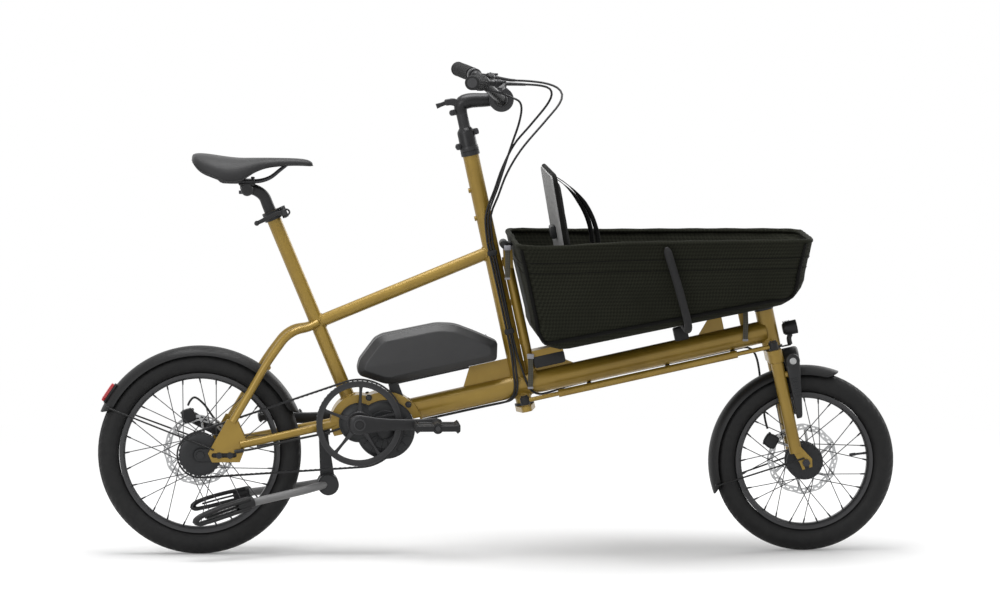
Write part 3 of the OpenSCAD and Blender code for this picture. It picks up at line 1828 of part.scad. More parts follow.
main_boom();
head_tube();
top_tube();
seat_tube();
seat_stays();
chain_stays();
front_head_tube();
basket_mounts();
motor_cradle();
motor();
battery_rail();
rear_axle();
rear_fender();
tail_light();
rear_caliper();
drive_belt();
basket();
basket_rim();
webbing();
backrest();
frame_cables();
steering_cables();
frame_hardware();
battery_case();
seat_post();
saddle();
saddle_rails();
seat_clamp_lever();
steerer();
stem();
handlebar();
grips();
controls();
brake_lever_left();
brake_lever_right();
shift_grip();
stem_lever();
tie_rod();
fork();
front_axle();
front_fender();
headlight();
ring_lock();
front_caliper();
front_hose();
front_rim();
front_tyre();
front_spokes();
front_hub();
rear_rim();
rear_tyre();
rear_spokes();
rear_hub();
rear_sprocket();
crank_set();
belt_ring();
pedal_left();
pedal_right();
stand_legs();
stand_feet();
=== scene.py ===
import math

import bmesh
import bpy
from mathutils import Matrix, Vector


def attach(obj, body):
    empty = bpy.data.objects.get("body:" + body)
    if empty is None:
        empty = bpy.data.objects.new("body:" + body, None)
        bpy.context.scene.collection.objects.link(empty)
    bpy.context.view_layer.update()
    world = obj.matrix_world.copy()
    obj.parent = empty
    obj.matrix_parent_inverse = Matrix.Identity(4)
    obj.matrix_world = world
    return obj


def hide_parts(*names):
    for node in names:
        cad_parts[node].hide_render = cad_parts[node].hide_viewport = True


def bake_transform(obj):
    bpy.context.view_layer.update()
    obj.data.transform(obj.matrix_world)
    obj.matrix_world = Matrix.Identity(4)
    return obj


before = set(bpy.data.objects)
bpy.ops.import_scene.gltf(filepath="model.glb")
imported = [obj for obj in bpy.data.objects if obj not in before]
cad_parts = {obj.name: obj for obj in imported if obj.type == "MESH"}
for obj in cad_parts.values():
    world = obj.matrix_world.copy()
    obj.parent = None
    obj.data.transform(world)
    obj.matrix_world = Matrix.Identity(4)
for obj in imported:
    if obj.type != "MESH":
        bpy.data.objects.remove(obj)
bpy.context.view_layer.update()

# Studio: a white sweep seen side-on by a long lens, with the bicycle's right side to the camera.
# A wide soft box overhead and two weak side panels draw the tube highlights; the floor keeps the shadow, and
# a painted shadow pool darkens it under the bicycle.


def srgb(code):
    """Linear colour of an sRGB hex value."""
    parts = [int(code[i:i + 2], 16) / 255 for i in (1, 3, 5)]
    return [c / 12.92 if c <= 0.04045 else ((c + 0.055) / 1.055) ** 2.4 for c in parts] + [1.0]


def add(tree, kind, inputs=None, **settings):
    """Adds one shader node; an input given as a socket is linked, any other value is set."""
    made = tree.nodes.new("ShaderNode" + kind)
    for key, value in settings.items():
        setattr(made, key, value)
    for key, value in (inputs or {}).items():
        if isinstance(value, bpy.types.NodeSocket):
            tree.links.new(value, made.inputs[key])
        else:
            made.inputs[key].default_value = value
    return made


def outside_camera(tree):
    """One for rays that see the backdrop straight, mirrored or through glass."""
    rays = add(tree, "LightPath").outputs
    seen = add(tree, "Math", {0: rays["Is Camera Ray"], 1: rays["Is Glossy Ray"]}, operation="MAXIMUM")
    clear = add(tree, "Math", {0: seen.outputs[0], 1: rays["Is Transmission Ray"]}, operation="MAXIMUM")
    return clear.outputs[0]


scene = bpy.context.scene
scene.view_settings.view_transform = "Standard"
view = bpy.data.cameras.new("side_view")
view.sensor_width = 36
view.lens = 288
view.clip_end = 200
eye = bpy.data.objects.new("side_view", view)
look = Vector((0.0556, 0.9953, -0.0793))
eye.location = (-0.989, -17.836, 1.971)
eye.rotation_euler = look.to_track_quat("-Z", "Y").to_euler()
scene.collection.objects.link(eye)
scene.camera = eye

sky = bpy.data.worlds.new("studio_white")
sky.use_nodes = True
sky.node_tree.nodes.clear()
# The light itself comes mostly from above, as in a tent lit through its roof
height = add(sky.node_tree, "SeparateXYZ",
    {0: add(sky.node_tree, "TexCoord").outputs["Generated"]}).outputs["Z"]
roof = add(sky.node_tree, "MapRange", {0: height, 1: 0.0, 2: 0.9, 3: 0.3, 4: 0.8})
strength = add(sky.node_tree, "MapRange", {0: outside_camera(sky.node_tree), 3: roof.outputs[0], 4: 1.0})
white = add(sky.node_tree, "Background", {"Color": (1, 1, 1, 1), "Strength": strength.outputs[0]})
add(sky.node_tree, "OutputWorld", {"Surface": white.outputs[0]})
scene.world = sky

for name, place, aim, size, power in (
        ("soft_box", (-0.2, -0.1, 3.6), (0, 0, 0.4), 2.0, 105),
        ("near_panel", (-2.6, -3.6, 1.9), (0, 0, 0.5), 1.8, 40),
        ("rear_panel", (2.6, 3.0, 2.2), (0, 0, 0.5), 1.8, 34)):
    lamp = bpy.data.lights.new(name, "AREA")
    lamp.size = size
    lamp.energy = power
    stand = bpy.data.objects.new(name, lamp)
    stand.location = place
    stand.rotation_euler = (Vector(aim) - Vector(place)).to_track_quat("-Z", "Y").to_euler()
    scene.collection.objects.link(stand)

# White card: camera rays see it lifted to white, less so near the middle, where the weaker lift paints a pool
# of shadow under the bicycle; what the bicycle shades falls below that too
card = bpy.data.materials.new("matt_white_card")
card.use_nodes = True
card.node_tree.nodes.clear()
grain = add(card.node_tree, "TexNoise", {"Scale": 3.0, "Detail": 3.0})
spot = add(card.node_tree, "TexCoord").outputs["Object"]
reach = add(card.node_tree, "VectorMath", {0: spot}, operation="LENGTH").outputs["Value"]
far = add(card.node_tree, "MapRange", {0: reach, 1: 1.2, 2: 3.2}, interpolation_type="SMOOTHSTEP").outputs[0]
tone = add(card.node_tree, "MapRange", {0: grain.outputs["Fac"], 3: 0.665, 4: 0.675})
matt = add(card.node_tree, "BsdfDiffuse", {"Color": tone.outputs[0]})
# Painted shadow: the white lift is weaker near the middle, so the floor under the bicycle is painted darker
painted_shadow_pool = add(card.node_tree, "MapRange",
    {0: reach, 1: 0.3, 2: 1.6, 3: 0.11, 4: 0.3}, interpolation_type="SMOOTHSTEP")
lift = add(card.node_tree, "Emission", {"Color": (1, 1, 1, 1), "Strength": painted_shadow_pool.outputs[0]})
near = add(card.node_tree, "AddShader", {0: matt.outputs[0], 1: lift.outputs[0]})
plain = add(card.node_tree, "Emission", {"Color": (1, 1, 1, 1), "Strength": 1.0})
both = add(card.node_tree, "MixShader", {0: far, 1: near.outputs[0], 2: plain.outputs[0]})
bounce = add(card.node_tree, "BsdfDiffuse", {"Color": srgb("#C9C9C7")})
split = {0: outside_camera(card.node_tree), 1: bounce.outputs[0], 2: both.outputs[0]}
add(card.node_tree, "OutputMaterial", {"Surface": add(card.node_tree, "MixShader", split).outputs[0]})
sweep_mesh = bpy.data.meshes.new("floor_sweep")
sweep_mesh.from_pydata([(-40, -40, 0), (40, -40, 0), (40, 40, 0), (-40, 40, 0)], [], [(0, 1, 2, 3)])
floor_sweep = bpy.data.objects.new("floor_sweep", sweep_mesh)
floor_sweep.data.materials.append(card)
scene.collection.objects.link(floor_sweep)

# Cables: two hydraulic brake hoses and the shift cable leave the handlebar in wide loops and meet at a clip
# on the head tube; a fourth hose crosses from the boom to the front caliper. Each is 5 mm wound housing in a
# nylon sleeve, free between its two ends.
BOOM_TILT = math.radians(12.2)
MIDDLE_X = 665.994
CRANK_X, CRANK_Z = 355, 296


def at(x, y, z):
    """Millimetres ahead of the rear axle, to the left of the middle and above the floor."""
    return Vector(((x - MIDDLE_X) / 1000, y / 1000, z / 1000))


def on_boom(s, y, h):
    """Millimetres along the boom from the crank axle, to the left, and up square to the boom."""
    c, n = math.cos(BOOM_TILT), math.sin(BOOM_TILT)
    return at(CRANK_X + s * c - h * n, y, CRANK_Z + s * n + h * c)


def smooth_run(knots, count):
    """Evenly spaced points on one smooth curve through the knots, without overshoot at uneven spacing."""
    ends = [knots[0] * 2 - knots[1]] + list(knots) + [knots[-1] * 2 - knots[-2]]
    fine = []
    for a, b, c, d in zip(ends, ends[1:], ends[2:], ends[3:]):
        ta = (b - a).length ** 0.5
        tb = ta + (c - b).length ** 0.5
        tc = tb + (d - c).length ** 0.5
        for i in range(24):
            t = ta + (tb - ta) * i / 24
            ab, bc = a.lerp(b, t / ta), b.lerp(c, (t - ta) / (tb - ta))
            cd = c.lerp(d, (t - tb) / (tc - tb))
            fine.append(ab.lerp(bc, t / tb).lerp(bc.lerp(cd, (t - ta) / (tc - ta)), (t - ta) / (tb - ta)))
    fine.append(knots[-1].copy())
    steps = [0.0]
    for p, q in zip(fine, fine[1:]):
        steps.append(steps[-1] + (q - p).length)
    points, k = [], 0
    for i in range(count):
        goal = steps[-1] * i / (count - 1)
        while k < len(steps) - 2 and steps[k + 1] < goal:
            k += 1
        share = (goal - steps[k]) / max(steps[k + 1] - steps[k], 1e-9)
        points.append(fine[k].lerp(fine[k + 1], min(share, 1.0)))
    return points


def piece(name, verts, faces, material, body=None, sharp=35):
    """A mesh object in the shared frame, shaded smooth up to an edge angle, riding on a body."""
    mesh = bpy.data.meshes.new(name)
    mesh.from_pydata([tuple(v) for v in verts], [], faces)
    made = bmesh.new()
    made.from_mesh(mesh)
    bmesh.ops.remove_doubles(made, verts=made.verts, dist=1e-6)
    bmesh.ops.recalc_face_normals(made, faces=made.faces)
    made.to_mesh(mesh)
    made.free()
    mesh.shade_smooth()
    mesh.set_sharp_from_angle(angle=math.radians(sharp))
    obj = bpy.data.objects.new(name, mesh)
    obj.data.materials.append(material)
    scene.collection.objects.link(obj)
    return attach(obj, body) if body else obj


def tube(path, radius, sides=12, closed=False):
    """Vertices and faces of a round bar along a path; radius is one number or one per point."""
    n = len(path)
    radii = radius if hasattr(radius, "__len__") else [radius] * n
    verts, faces, u = [], [], None
    for i, p in enumerate(path):
        ahead = path[(i + 1) % n] if closed else path[min(i + 1, n - 1)]
        back = path[i - 1] if closed else path[max(i - 1, 0)]
        t = (ahead - back).normalized()
        if u is None:
            u = t.orthogonal().normalized()
        u = (u - t * u.dot(t)).normalized()
        w = t.cross(u)
        for j in range(sides):
            a = 2 * math.pi * j / sides
            verts.append(p + radii[i] * (math.cos(a) * u + math.sin(a) * w))
    for i in range(n if closed else n - 1):
        k = (i + 1) % n
        for j in range(sides):
            m = (j + 1) % sides
            faces.append((i * sides + j, i * sides + m, k * sides + m, k * sides + j))
    if not closed:
        faces.append(tuple(range(sides))[::-1])
        faces.append(tuple(range((n - 1) * sides, n * sides)))
    return verts, faces


def joined(*shapes):
    """One list of vertices and faces from several."""
    verts, faces = [], []
    for v, f in shapes:
        faces += [tuple(i + len(verts) for i in face) for face in f]
        verts += list(v)
    return verts, faces


def surface(name):
    """A new material with its tree, its shader and the object's own coordinates in metres."""
    material = bpy.data.materials.new(name)
    material.use_nodes = True
    tree = material.node_tree
    shader = next(n for n in tree.nodes if n.type == "BSDF_PRINCIPLED")
    place = add(tree, "TexCoord").outputs["Object"]
    return material, tree, shader, place


def per_mm(size):
    """Texture scale for a pattern of this size in millimetres."""
    return 1000 / size


def mottled(name, patch, dark, light, values, roughness=None,
        relief=None, pebbles=None, span=(0, 1), **drifting):
    """A finish whose tone drifts from dark to light over patches, a pair of millimetres and noise detail.

    values are constants of the shader. roughness is the pair of limits that it drifts between with the tone.
    relief is a finer grain on top: millimetres, noise detail, bump strength and bump height in metres.
    pebbles is a relief of cells instead: millimetres, kind of cell, bump strength and bump height.
    span is where the ramp has its two tones, and drifting gives the patches' other inputs.
    """
    material, tree, shader, place = surface(name)
    drift = add(tree, "TexNoise",
        {"Vector": place, "Scale": per_mm(patch[0]), "Detail": patch[1], **drifting})
    shade = add(tree, "ValToRGB", {"Fac": drift.outputs["Fac"]})
    for stop, position, code in zip(shade.color_ramp.elements, span, (dark, light)):
        stop.position = position
        stop.color = srgb(code)
    tree.links.new(shade.outputs[0], shader.inputs["Base Color"])
    if roughness:
        rough = add(tree, "MapRange", {0: drift.outputs["Fac"], 3: roughness[0], 4: roughness[1]})
        tree.links.new(rough.outputs[0], shader.inputs["Roughness"])
    if relief:
        size, detail, strength, height = relief
        grain = add(tree, "TexNoise",
            {"Vector": place, "Scale": per_mm(size), "Detail": detail}).outputs["Fac"]
    if pebbles:
        size, kind, strength, height = pebbles
        grain = add(tree, "TexVoronoi", {"Vector": place, "Scale": per_mm(size)},
            feature=kind).outputs["Distance"]
    if relief or pebbles:
        bump = add(tree, "Bump", {"Height": grain, "Strength": strength, "Distance": height})
        tree.links.new(bump.outputs[0], shader.inputs["Normal"])
    for socket, value in values.items():
        shader.inputs[socket].default_value = value
    return material


# Extruded nylon sleeve: dense black with a soft sheen and a faint drawn grain
sleeve_black = mottled("extruded_nylon_sleeve", (3, 4.0), "#161617", "#242426",
    {"Specular IOR Level": 0.3}, roughness=(0.36, 0.5))

CABLE_R = 0.0025
HEAD_RUN = 373
CLIP_Y = -18 - 2.5 - 0.4
steering_cables = (
    ("front_brake_hose", (at(676, 150, 1057), at(704, 152, 1052), at(749, 160, 1049), at(787, 150, 1044),
    at(812, 120, 1034), at(819, 100, 1021), at(812, 80, 1003), at(782, 55, 969), at(720, 20, 900),
    at(688, 0, 849), at(668, -14, 800), on_boom(HEAD_RUN + 15, CLIP_Y - 3, 390),
    on_boom(HEAD_RUN + 6, CLIP_Y, 331))),
    ("rear_brake_hose", (at(676, -148, 1059), at(711, -150, 1058), at(750, -155, 1056), at(774, -140, 1049),
    at(782, -115, 1034), at(775, -90, 1012), at(736, -60, 960), at(704, -42, 920), at(677, -32, 866),
    at(661, -28, 820), on_boom(HEAD_RUN + 3, CLIP_Y - 3, 390), on_boom(HEAD_RUN - 6, CLIP_Y, 331))),
    ("shift_cable", (at(640, -178, 1046), at(654, -176, 1043), at(670, -170, 1038), at(690, -150, 1029),
    at(710, -118, 1018), at(716, -95, 1001), at(712, -70, 968), at(698, -50, 922), at(682, -42, 872),
    at(667, -36, 824), on_boom(HEAD_RUN + 9, CLIP_Y - 5, 390), on_boom(HEAD_RUN, CLIP_Y, 331))))
for name, knots in steering_cables:
    path = smooth_run(knots, 40)
    cable = piece(name, *tube(path, CABLE_R), sleeve_black)
    run = sum((q - p).length for p, q in zip(path, path[1:]))
    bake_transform(cable)
    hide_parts("steering_cables")

hose_path = smooth_run((
    on_boom(881, 12, -26), on_boom(893, 13, -29.5), on_boom(902, 16.5, -41), on_boom(906, 22, -60),
    on_boom(906, 28, -85), on_boom(904, 34, -110), on_boom(900, 43, -160), on_boom(897, 45, -200),
    on_boom(898, 44, -221)), 24)
front_hose = piece("front_caliper_hose", *tube(hose_path, CABLE_R), sleeve_black)
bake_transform(front_hose)
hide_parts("front_hose")

# Frame: welded steel tubes, plates and dropouts, blasted and powder coated in one satin gold.
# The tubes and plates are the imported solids; the bent seat stays and the weld beads are drawn over them.


def dress(material, *names):
    """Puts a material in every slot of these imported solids."""
    for name in names:
        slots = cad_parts[name].material_slots
        if not slots:
            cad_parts[name].data.materials.append(material)
        for held in slots:
            held.material = material


# Satin powder coat with fine mica: an ochre gold that lightens where it faces the lamp, with an orange peel
# about 1.5 mm across
gold_coat, tree, shader, place = surface("satin_gold_powder_coat")
cloud = add(tree, "TexNoise", {"Vector": place, "Scale": per_mm(60), "Detail": 3.0})
mica = add(tree, "TexVoronoi", {"Vector": place, "Scale": per_mm(0.9)})
body_tone = add(tree, "ValToRGB", {"Fac": cloud.outputs["Fac"]})
body_tone.color_ramp.elements[0].position = 0.3
body_tone.color_ramp.elements[0].color = srgb("#8A6E22")
body_tone.color_ramp.elements[1].position = 0.7
body_tone.color_ramp.elements[1].color = srgb("#967A2C")
fleck = add(tree, "MapRange", {0: mica.outputs["Color"], 1: 0.7, 2: 1.0, 3: 0.0, 4: 0.12})
tone = add(tree, "Mix",
    {"Factor": fleck.outputs[0], 6: body_tone.outputs[0], 7: srgb("#C2A24A")}, data_type="RGBA")
peel = add(tree, "TexNoise", {"Vector": place, "Scale": per_mm(1.5), "Detail": 1.0})
coat_bump = add(tree, "Bump", {"Height": peel.outputs["Fac"], "Strength": 0.03, "Distance": 0.0004})
rough = add(tree, "MapRange", {0: cloud.outputs["Fac"], 3: 0.34, 4: 0.44})
tree.links.new(tone.outputs[2], shader.inputs["Base Color"])
tree.links.new(rough.outputs[0], shader.inputs["Roughness"])
tree.links.new(coat_bump.outputs[0], shader.inputs["Normal"])
shader.inputs["Metallic"].default_value = 0.35
shader.inputs["Coat Weight"].default_value = 0.25
shader.inputs["Coat Roughness"].default_value = 0.22
dress(gold_coat, "main_boom", "head_tube", "top_tube", "seat_tube", "chain_stays", "front_head_tube",
      "basket_mounts", "motor_cradle")

SEAT_ANGLE = math.radians(67.5)


def on_seat(d):
    """Millimetres up the seat tube from the crank axle."""
    return at(CRANK_X - d * math.cos(SEAT_ANGLE), 0, CRANK_Z + d * math.sin(SEAT_ANGLE))


def mirrored(points):
    """The same points on the other side of the bicycle."""
    return [Vector((p.x, -p.y, p.z)) for p in points]


stay_path = smooth_run((on_seat(240) + Vector((0, 0.0139, 0)), at(244, 26, 509), at(214, 42, 502),
    at(192, 49, 488), at(174, 53, 466), at(150, 58, 432), at(111, 64.2, 367), at(72, 70.5, 302)), 48)
bridge = [at(152.3, y, 422.4) for y in (-58, -20, 20, 58)]
seat_stays = piece("bent_seat_stays",
    *joined(tube(stay_path, 0.009, 24), tube(mirrored(stay_path), 0.009, 24),
    tube(bridge, 0.006, 20)), gold_coat, "frame")
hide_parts("seat_stays")


def weld(start, stop, r, axis_a, axis_b, wall_r, turn=(0, 360)):
    """A rippled bead where a tube from start meets a round wall about an axis; open if the turn is part."""
    d = (stop - start).normalized()
    b = (axis_b - axis_a).normalized()
    u = d.cross(b).normalized()
    w = d.cross(u)
    path, radii = [], []
    count = int(2 * math.pi * r * (turn[1] - turn[0]) / 360 / 0.0016)
    for i in range(count):
        a = math.radians(turn[0] + (turn[1] - turn[0]) * i
            / (count if turn[1] - turn[0] == 360 else count - 1))
        p = start + r * (math.cos(a) * u + math.sin(a) * w) - axis_a
        e, f = p - b * p.dot(b), d - b * d.dot(b)
        qa, qb, qc = f.dot(f), 2 * e.dot(f), e.dot(e) - wall_r ** 2
        root = qb * qb - 4 * qa * qc
        if root < 0:
            continue
        path.append(p + axis_a + d * ((-qb - math.sqrt(root)) / (2 * qa)))
        radii.append(0.0024 + 0.0005 * math.sin(i * 1.9))
    return tube(path, radii, 8, closed=turn[1] - turn[0] == 360)


head_low, head_high = on_boom(HEAD_RUN, 0, -38), on_boom(HEAD_RUN, 0, 529)
boom_back, boom_front = on_boom(55, 0, 0), on_boom(937, 0, 0)
cross = Vector((0, 1, 0))
motor_axis = on_boom(55, 0, -28)
top_mid = on_seat(240).lerp(on_boom(HEAD_RUN, 0, 309), 0.5)
piece("weld_beads", *joined(
    weld(top_mid, on_boom(HEAD_RUN, 0, 309), 0.0143, head_low, head_high, 0.018),
    weld(top_mid, on_seat(240), 0.0143, on_seat(0), on_seat(500), 0.0159),
    weld(head_high, head_low, 0.018, boom_back, boom_front, 0.025),
    weld(on_boom(HEAD_RUN, 0, -90), head_high, 0.018, boom_back, boom_front, 0.025),
    weld(on_boom(403, 0, 200), on_boom(403, 0, 0), 0.011, boom_back, boom_front, 0.025),
    weld(on_seat(200), on_seat(0), 0.0159, on_seat(0), on_seat(0) + cross, 0.0624),
    weld(on_boom(300, 0, 0), boom_back, 0.025, motor_axis, motor_axis + cross, 0.0844)),
    gold_coat, "frame")

# Cables fixed along the frame: from the head tube clip down past the boom to the motor, the front caliper,
# the rear hub and the rear caliper. The same sleeve as the free hoses, held by two moulded clips.
fixed_runs = [
    [on_boom(HEAD_RUN + 6 * c + s, y, h) for s, y, h in (
        (0, CLIP_Y, 330), (0, CLIP_Y, 80), (-4, -27.9, 36), (-8, -28.6, 4), (-11, -28.4, -6), (-14, -26, -14),
        (-20, -22, -20), (-26, -17, -25), (-35, -11, -28), (-44, -6 + 3 * c, -28.6), (-80, 6 * c, -28.4),
        (-251 - 6 * c, 6 * c, -28.4))]
    for c in (-1, 0)]
fixed_runs += [
    [on_boom(*p) for p in ((379, CLIP_Y, 330), (379, CLIP_Y, 80), (383, -27.9, 36), (387, -28.6, 4),
    (390, -28.4, -6), (393, -26, -14), (399, -22, -20), (405, -17, -25), (414, -11, -28), (426, -4, -28.8),
    (446, 5, -28.6), (474, 12, -26), (880, 12, -26))],
    [at(*p) for p in ((314, -43, 284), (286, -42, 275), (200, -54, 258), (140, -67, 246), (112, -76, 241),
    (98, -78, 239))],
    [at(*p) for p in ((314, 43, 284), (286, 42, 275), (200, 54, 258), (130, 70, 246), (90, 84, 250),
    (40, 86, 290), (10, 82, 330), (-10, 70, 345), (-20, 60, 338), (-25, 56, 328))]]
fixed_cables = piece("fixed_cables",
    *joined(*[tube(smooth_run(run, 90), CABLE_R, 10) for run in fixed_runs]), sleeve_black, "frame")
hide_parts("frame_cables")


def rounded(corners, radius, steps=5):
    """An outline with its corners rounded; radius is one number or one per corner."""
    out, n = [], len(corners)
    for i, corner in enumerate(corners):
        p = Vector(corner)
        a, b = Vector(corners[i - 1]), Vector(corners[(i + 1) % n])
        r = radius[i] if hasattr(radius, "__len__") else radius
        p0 = p + (a - p).normalized() * min(r, 0.48 * (a - p).length)
        p1 = p + (b - p).normalized() * min(r, 0.48 * (b - p).length)
        for k in range(steps + 1):
            t = k / steps
            out.append((1 - t) ** 2 * p0 + 2 * t * (1 - t) * p + t * t * p1)
    return out


def inset(outline, d):
    """The outline moved inward by d."""
    area = sum(p.x * q.y - q.x * p.y for p, q in zip(outline, outline[1:] + outline[:1]))
    sign = 1 if area > 0 else -1
    out, n = [], len(outline)
    for i, p in enumerate(outline):
        a, b = p - outline[i - 1], outline[(i + 1) % n] - p
        m = Vector((-(a.normalized().y + b.normalized().y), a.normalized().x + b.normalized().x))
        out.append(p + m.normalized() * d * sign if m.length > 1e-6 else p.copy())
    return out


def slab(outline, layers, put):
    """A solid from an outline and its layers, each a place across and an inset.

    The outline is a list of points, or a function that gives them for an inset.
    put takes (u, across, v) to the shared frame.
    """
    verts, faces = [], []
    for across, d in layers:
        ring = outline(d) if callable(outline) else inset(outline, d)
        verts += [put(p.x, across, p.y) for p in ring]
    n = len(ring)
    for k in range(len(layers) - 1):
        for j in range(n):
            m = (j + 1) % n
            faces.append((k * n + j, k * n + m, (k + 1) * n + m, (k + 1) * n + j))
    faces.append(tuple(range(n))[::-1])
    faces.append(tuple(range((len(layers) - 1) * n, len(layers) * n)))
    return verts, faces


def box(low, high, edge, put):
    """A block with rounded edges between two corners in millimetres."""
    outline = rounded([(low[0], low[2]), (high[0], low[2]),
        (high[0], high[2]), (low[0], high[2])], 2 * edge, 3)
    return slab(outline, ((low[1], edge), (low[1] + edge * 0.3, edge * 0.3), (low[1] + edge, 0),
        (high[1] - edge, 0), (high[1] - edge * 0.3, edge * 0.3), (high[1], edge)), put)


def lathe(profile, origin, axis, steps=48, closed=False, ripple=None):
    """A turned solid: (radius, height) in millimetres along the axis; ripple moves a radius by its angle."""
    axis = axis.normalized()
    u = axis.orthogonal().normalized()
    w = axis.cross(u)
    n = len(profile)
    verts, faces = [], []
    for i in range(steps):
        a = 2 * math.pi * i / steps
        for k, (r, h) in enumerate(profile):
            rr = r + (ripple(a, k) if ripple else 0)
            verts.append(origin + (axis * h + rr * (math.cos(a) * u + math.sin(a) * w)) / 1000)
    for i in range(steps):
        j = (i + 1) % steps
        for k in range(n if closed else n - 1):
            m = (k + 1) % n
            faces.append((i * n + k, j * n + k, j * n + m, i * n + m))
    if not closed:
        faces.append(tuple(i * n for i in range(steps))[::-1])
        faces.append(tuple(i * n + n - 1 for i in range(steps)))
    return verts, faces


def bolt(origin, axis, r, h):
    """A domed cap head with its hex socket, standing h millimetres out from origin along the axis."""
    profile = [(r * 0.98, 0), (r, h * 0.25), (r, h * 0.72), (r * 0.86, h), (r * 0.55, h), (r * 0.5, h * 0.45)]
    return lathe(profile, origin, axis, 20)


# Moulded glass-filled nylon: mid black, matt, a fine 0.6 mm spark-eroded grain that breaks up the highlight
black_nylon = mottled("moulded_black_nylon", (25, 3.0), "#151516", "#202021",
    {"Specular IOR Level": 0.3}, roughness=(0.42, 0.58), relief=(0.6, 2.0, 0.25, 0.0002))

clip_blocks = [box((HEAD_RUN - 11, -25.5, h), (HEAD_RUN + 11, -17.4, h + 12), 2, on_boom) for h in (300, 120)]
under_clips = [box((s, -12, -34), (s + 10, 17, -25.2), 2, on_boom) for s in (520, 700, 850)]
piece("cable_clips", *joined(*clip_blocks, *under_clips), black_nylon, "frame")

# Rest pads of the basket: two black nylon blocks on the boom.
# Each is pushed over its steel stop and is a little larger all round.
piece("rest_pads", *joined(
    box((411.2, -28.8, 32.2), (482.8, 28.8, 58.6), 2.4, on_boom),
    box((733.2, -12.8, 20), (764.8, 12.8, 52), 2.4, on_boom)), black_nylon, "frame")

# Motor: a die-cast magnesium shell hung in the gold cradle, with a ribbed cover on each side.
# Two bolts a side hold it; the cover carries a raised ring round the crank axle.

# Die-cast shell under black paint: dark, half matt, a slightly cloudy 2 mm cast skin
cast_black = mottled("painted_die_cast_shell", (30, 2.0), "#17181A", "#242527",
    {"Specular IOR Level": 0.35}, roughness=(0.38, 0.52), relief=(2, 3.0, 0.12, 0.0004))
dress(cast_black, "motor", "frame_hardware", "battery_rail", "rear_axle")


def cover(side):
    """Motor cover on one side: a shallow dish with ribs, and the collar round the crank axle."""
    out = Vector((0, side, 0))
    dish = lathe([(0.4, 1.8), (18, 1.8), (20, 0.8), (24, 3.4), (42, 4.4), (44, 2.6),
        (54, 3.2), (60, 1.6), (63, 0)], motor_axis + out * 0.0401, out, 72)
    collar = lathe([(15, 0), (15, 5.6), (19, 6.4), (30, 5.4), (36, 2.6),
        (40, 0)], on_boom(0, side * 40.1, 0), out, 60)
    ribs = []
    for i in range(9):
        a = math.radians(200 + 22 * i)
        p, q = Vector((math.cos(a), math.sin(a))) * 25, Vector((math.cos(a), math.sin(a))) * 58
        ribs.append(tube([on_boom(55 + v.x, side * 43, -28 + v.y) for v in (p, p.lerp(q, 0.5), q)],
            0.0018, 8))
    return joined(dish, collar, *ribs)


piece("motor_covers", *joined(cover(-1), cover(1)), cast_black, "frame")

# Zinc-plated steel screws: bright grey with a slight yellow cast, turned faces that streak the light
plated_steel = mottled("zinc_plated_steel", (1.2, 3.0), "#8E8F90", "#B9BABA",
    {"Metallic": 1.0}, roughness=(0.26, 0.42))

# Black-oxide screws: near black steel that still shows a metal glint on its edges
oxide_steel = mottled("black_oxide_steel", (1.5, 3.0), "#2C2C2E", "#454548",
    {"Metallic": 0.8}, roughness=(0.3, 0.45))

cradle_bolts = [bolt(on_boom(s, side * 40, h), Vector((0, side, 0)), 5.4, 4)
    for s, h in ((34, 50), (117, 16)) for side in (-1, 1)]
piece("cradle_bolts", *joined(*cradle_bolts), oxide_steel, "frame")

# Battery: two moulded polycarbonate half shells with flat bevels, latched over the rail on the boom. A fine
# seam parts the halves, a rubber cap on the left hides the charging port, and a lock barrel sits in front.

# Moulded polycarbonate blend: charcoal grey, satin, an even 0.8 mm leather-like tool grain
case_grey = mottled("moulded_polycarbonate_case", (40, 3.0), "#2A2A2B", "#343435",
    {"Specular IOR Level": 0.4}, roughness=(0.36, 0.48), pebbles=(0.8, "F1", 0.12, 0.0002))

CASE_CORNERS = [(80, 69.4), (332, 69.4), (342, 109), (300, 140), (257, 168),
    (218, 178), (94, 180), (76, 175), (32, 137), (23, 119), (23, 103)]
CASE_RADII = [10, 8, 7, 16, 14, 12, 7, 7, 7, 6, 8]


def case_outline(d):
    """The battery's side view with every side moved inward by d, then its corners rounded."""
    out = []
    for i, corner in enumerate(CASE_CORNERS):
        p, before = Vector(corner), Vector(CASE_CORNERS[i - 1])
        after = Vector(CASE_CORNERS[(i + 1) % len(CASE_CORNERS)])
        u, v = (p - before).normalized(), (after - p).normalized()
        out.append(p + Vector((-u.y - v.y, u.x + v.x)) * d / (1 + u.dot(v)))
    return rounded(out, CASE_RADII, 4)


half_layers = ((0, 0), (29, 0), (31.4, 0.7), (43.4, 13.4), (45, 15.4), (45.6, 17.4))
case_layers = [(-y, d) for y, d in reversed(half_layers)] + list(half_layers[1:])
battery_case = piece("battery_case_shell",
    *slab(case_outline, case_layers, on_boom), case_grey, "battery", sharp=24)
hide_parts("battery_case")
seam = [on_boom(p.x, 0, p.y) for p in case_outline(-0.15)]
piece("battery_trim", *joined(
    tube(seam, 0.0005, 6, closed=True),
    lathe([(9, -2), (9, 0.5), (8, 1.2), (0.5, 1.2)], on_boom(296, 45.2, 104), Vector((0, 1, 0)), 32)),
    black_nylon, "battery")
case_lock = lathe([(7, 0), (7, 1.4), (5.6, 2), (5.4, 0.8), (0.4, 0.8)], on_boom(322, 20, 121),
    Vector((0.82, 0, 0.57)), 28)
piece("battery_lock_barrel", *case_lock, plated_steel, "battery")

# Belt drive: a toothed carbon-cord belt from the ring on the crank to the sprocket on the rear hub.
# The belt's outer face is smooth; its shallow teeth show on the two free runs, 11 mm apart.

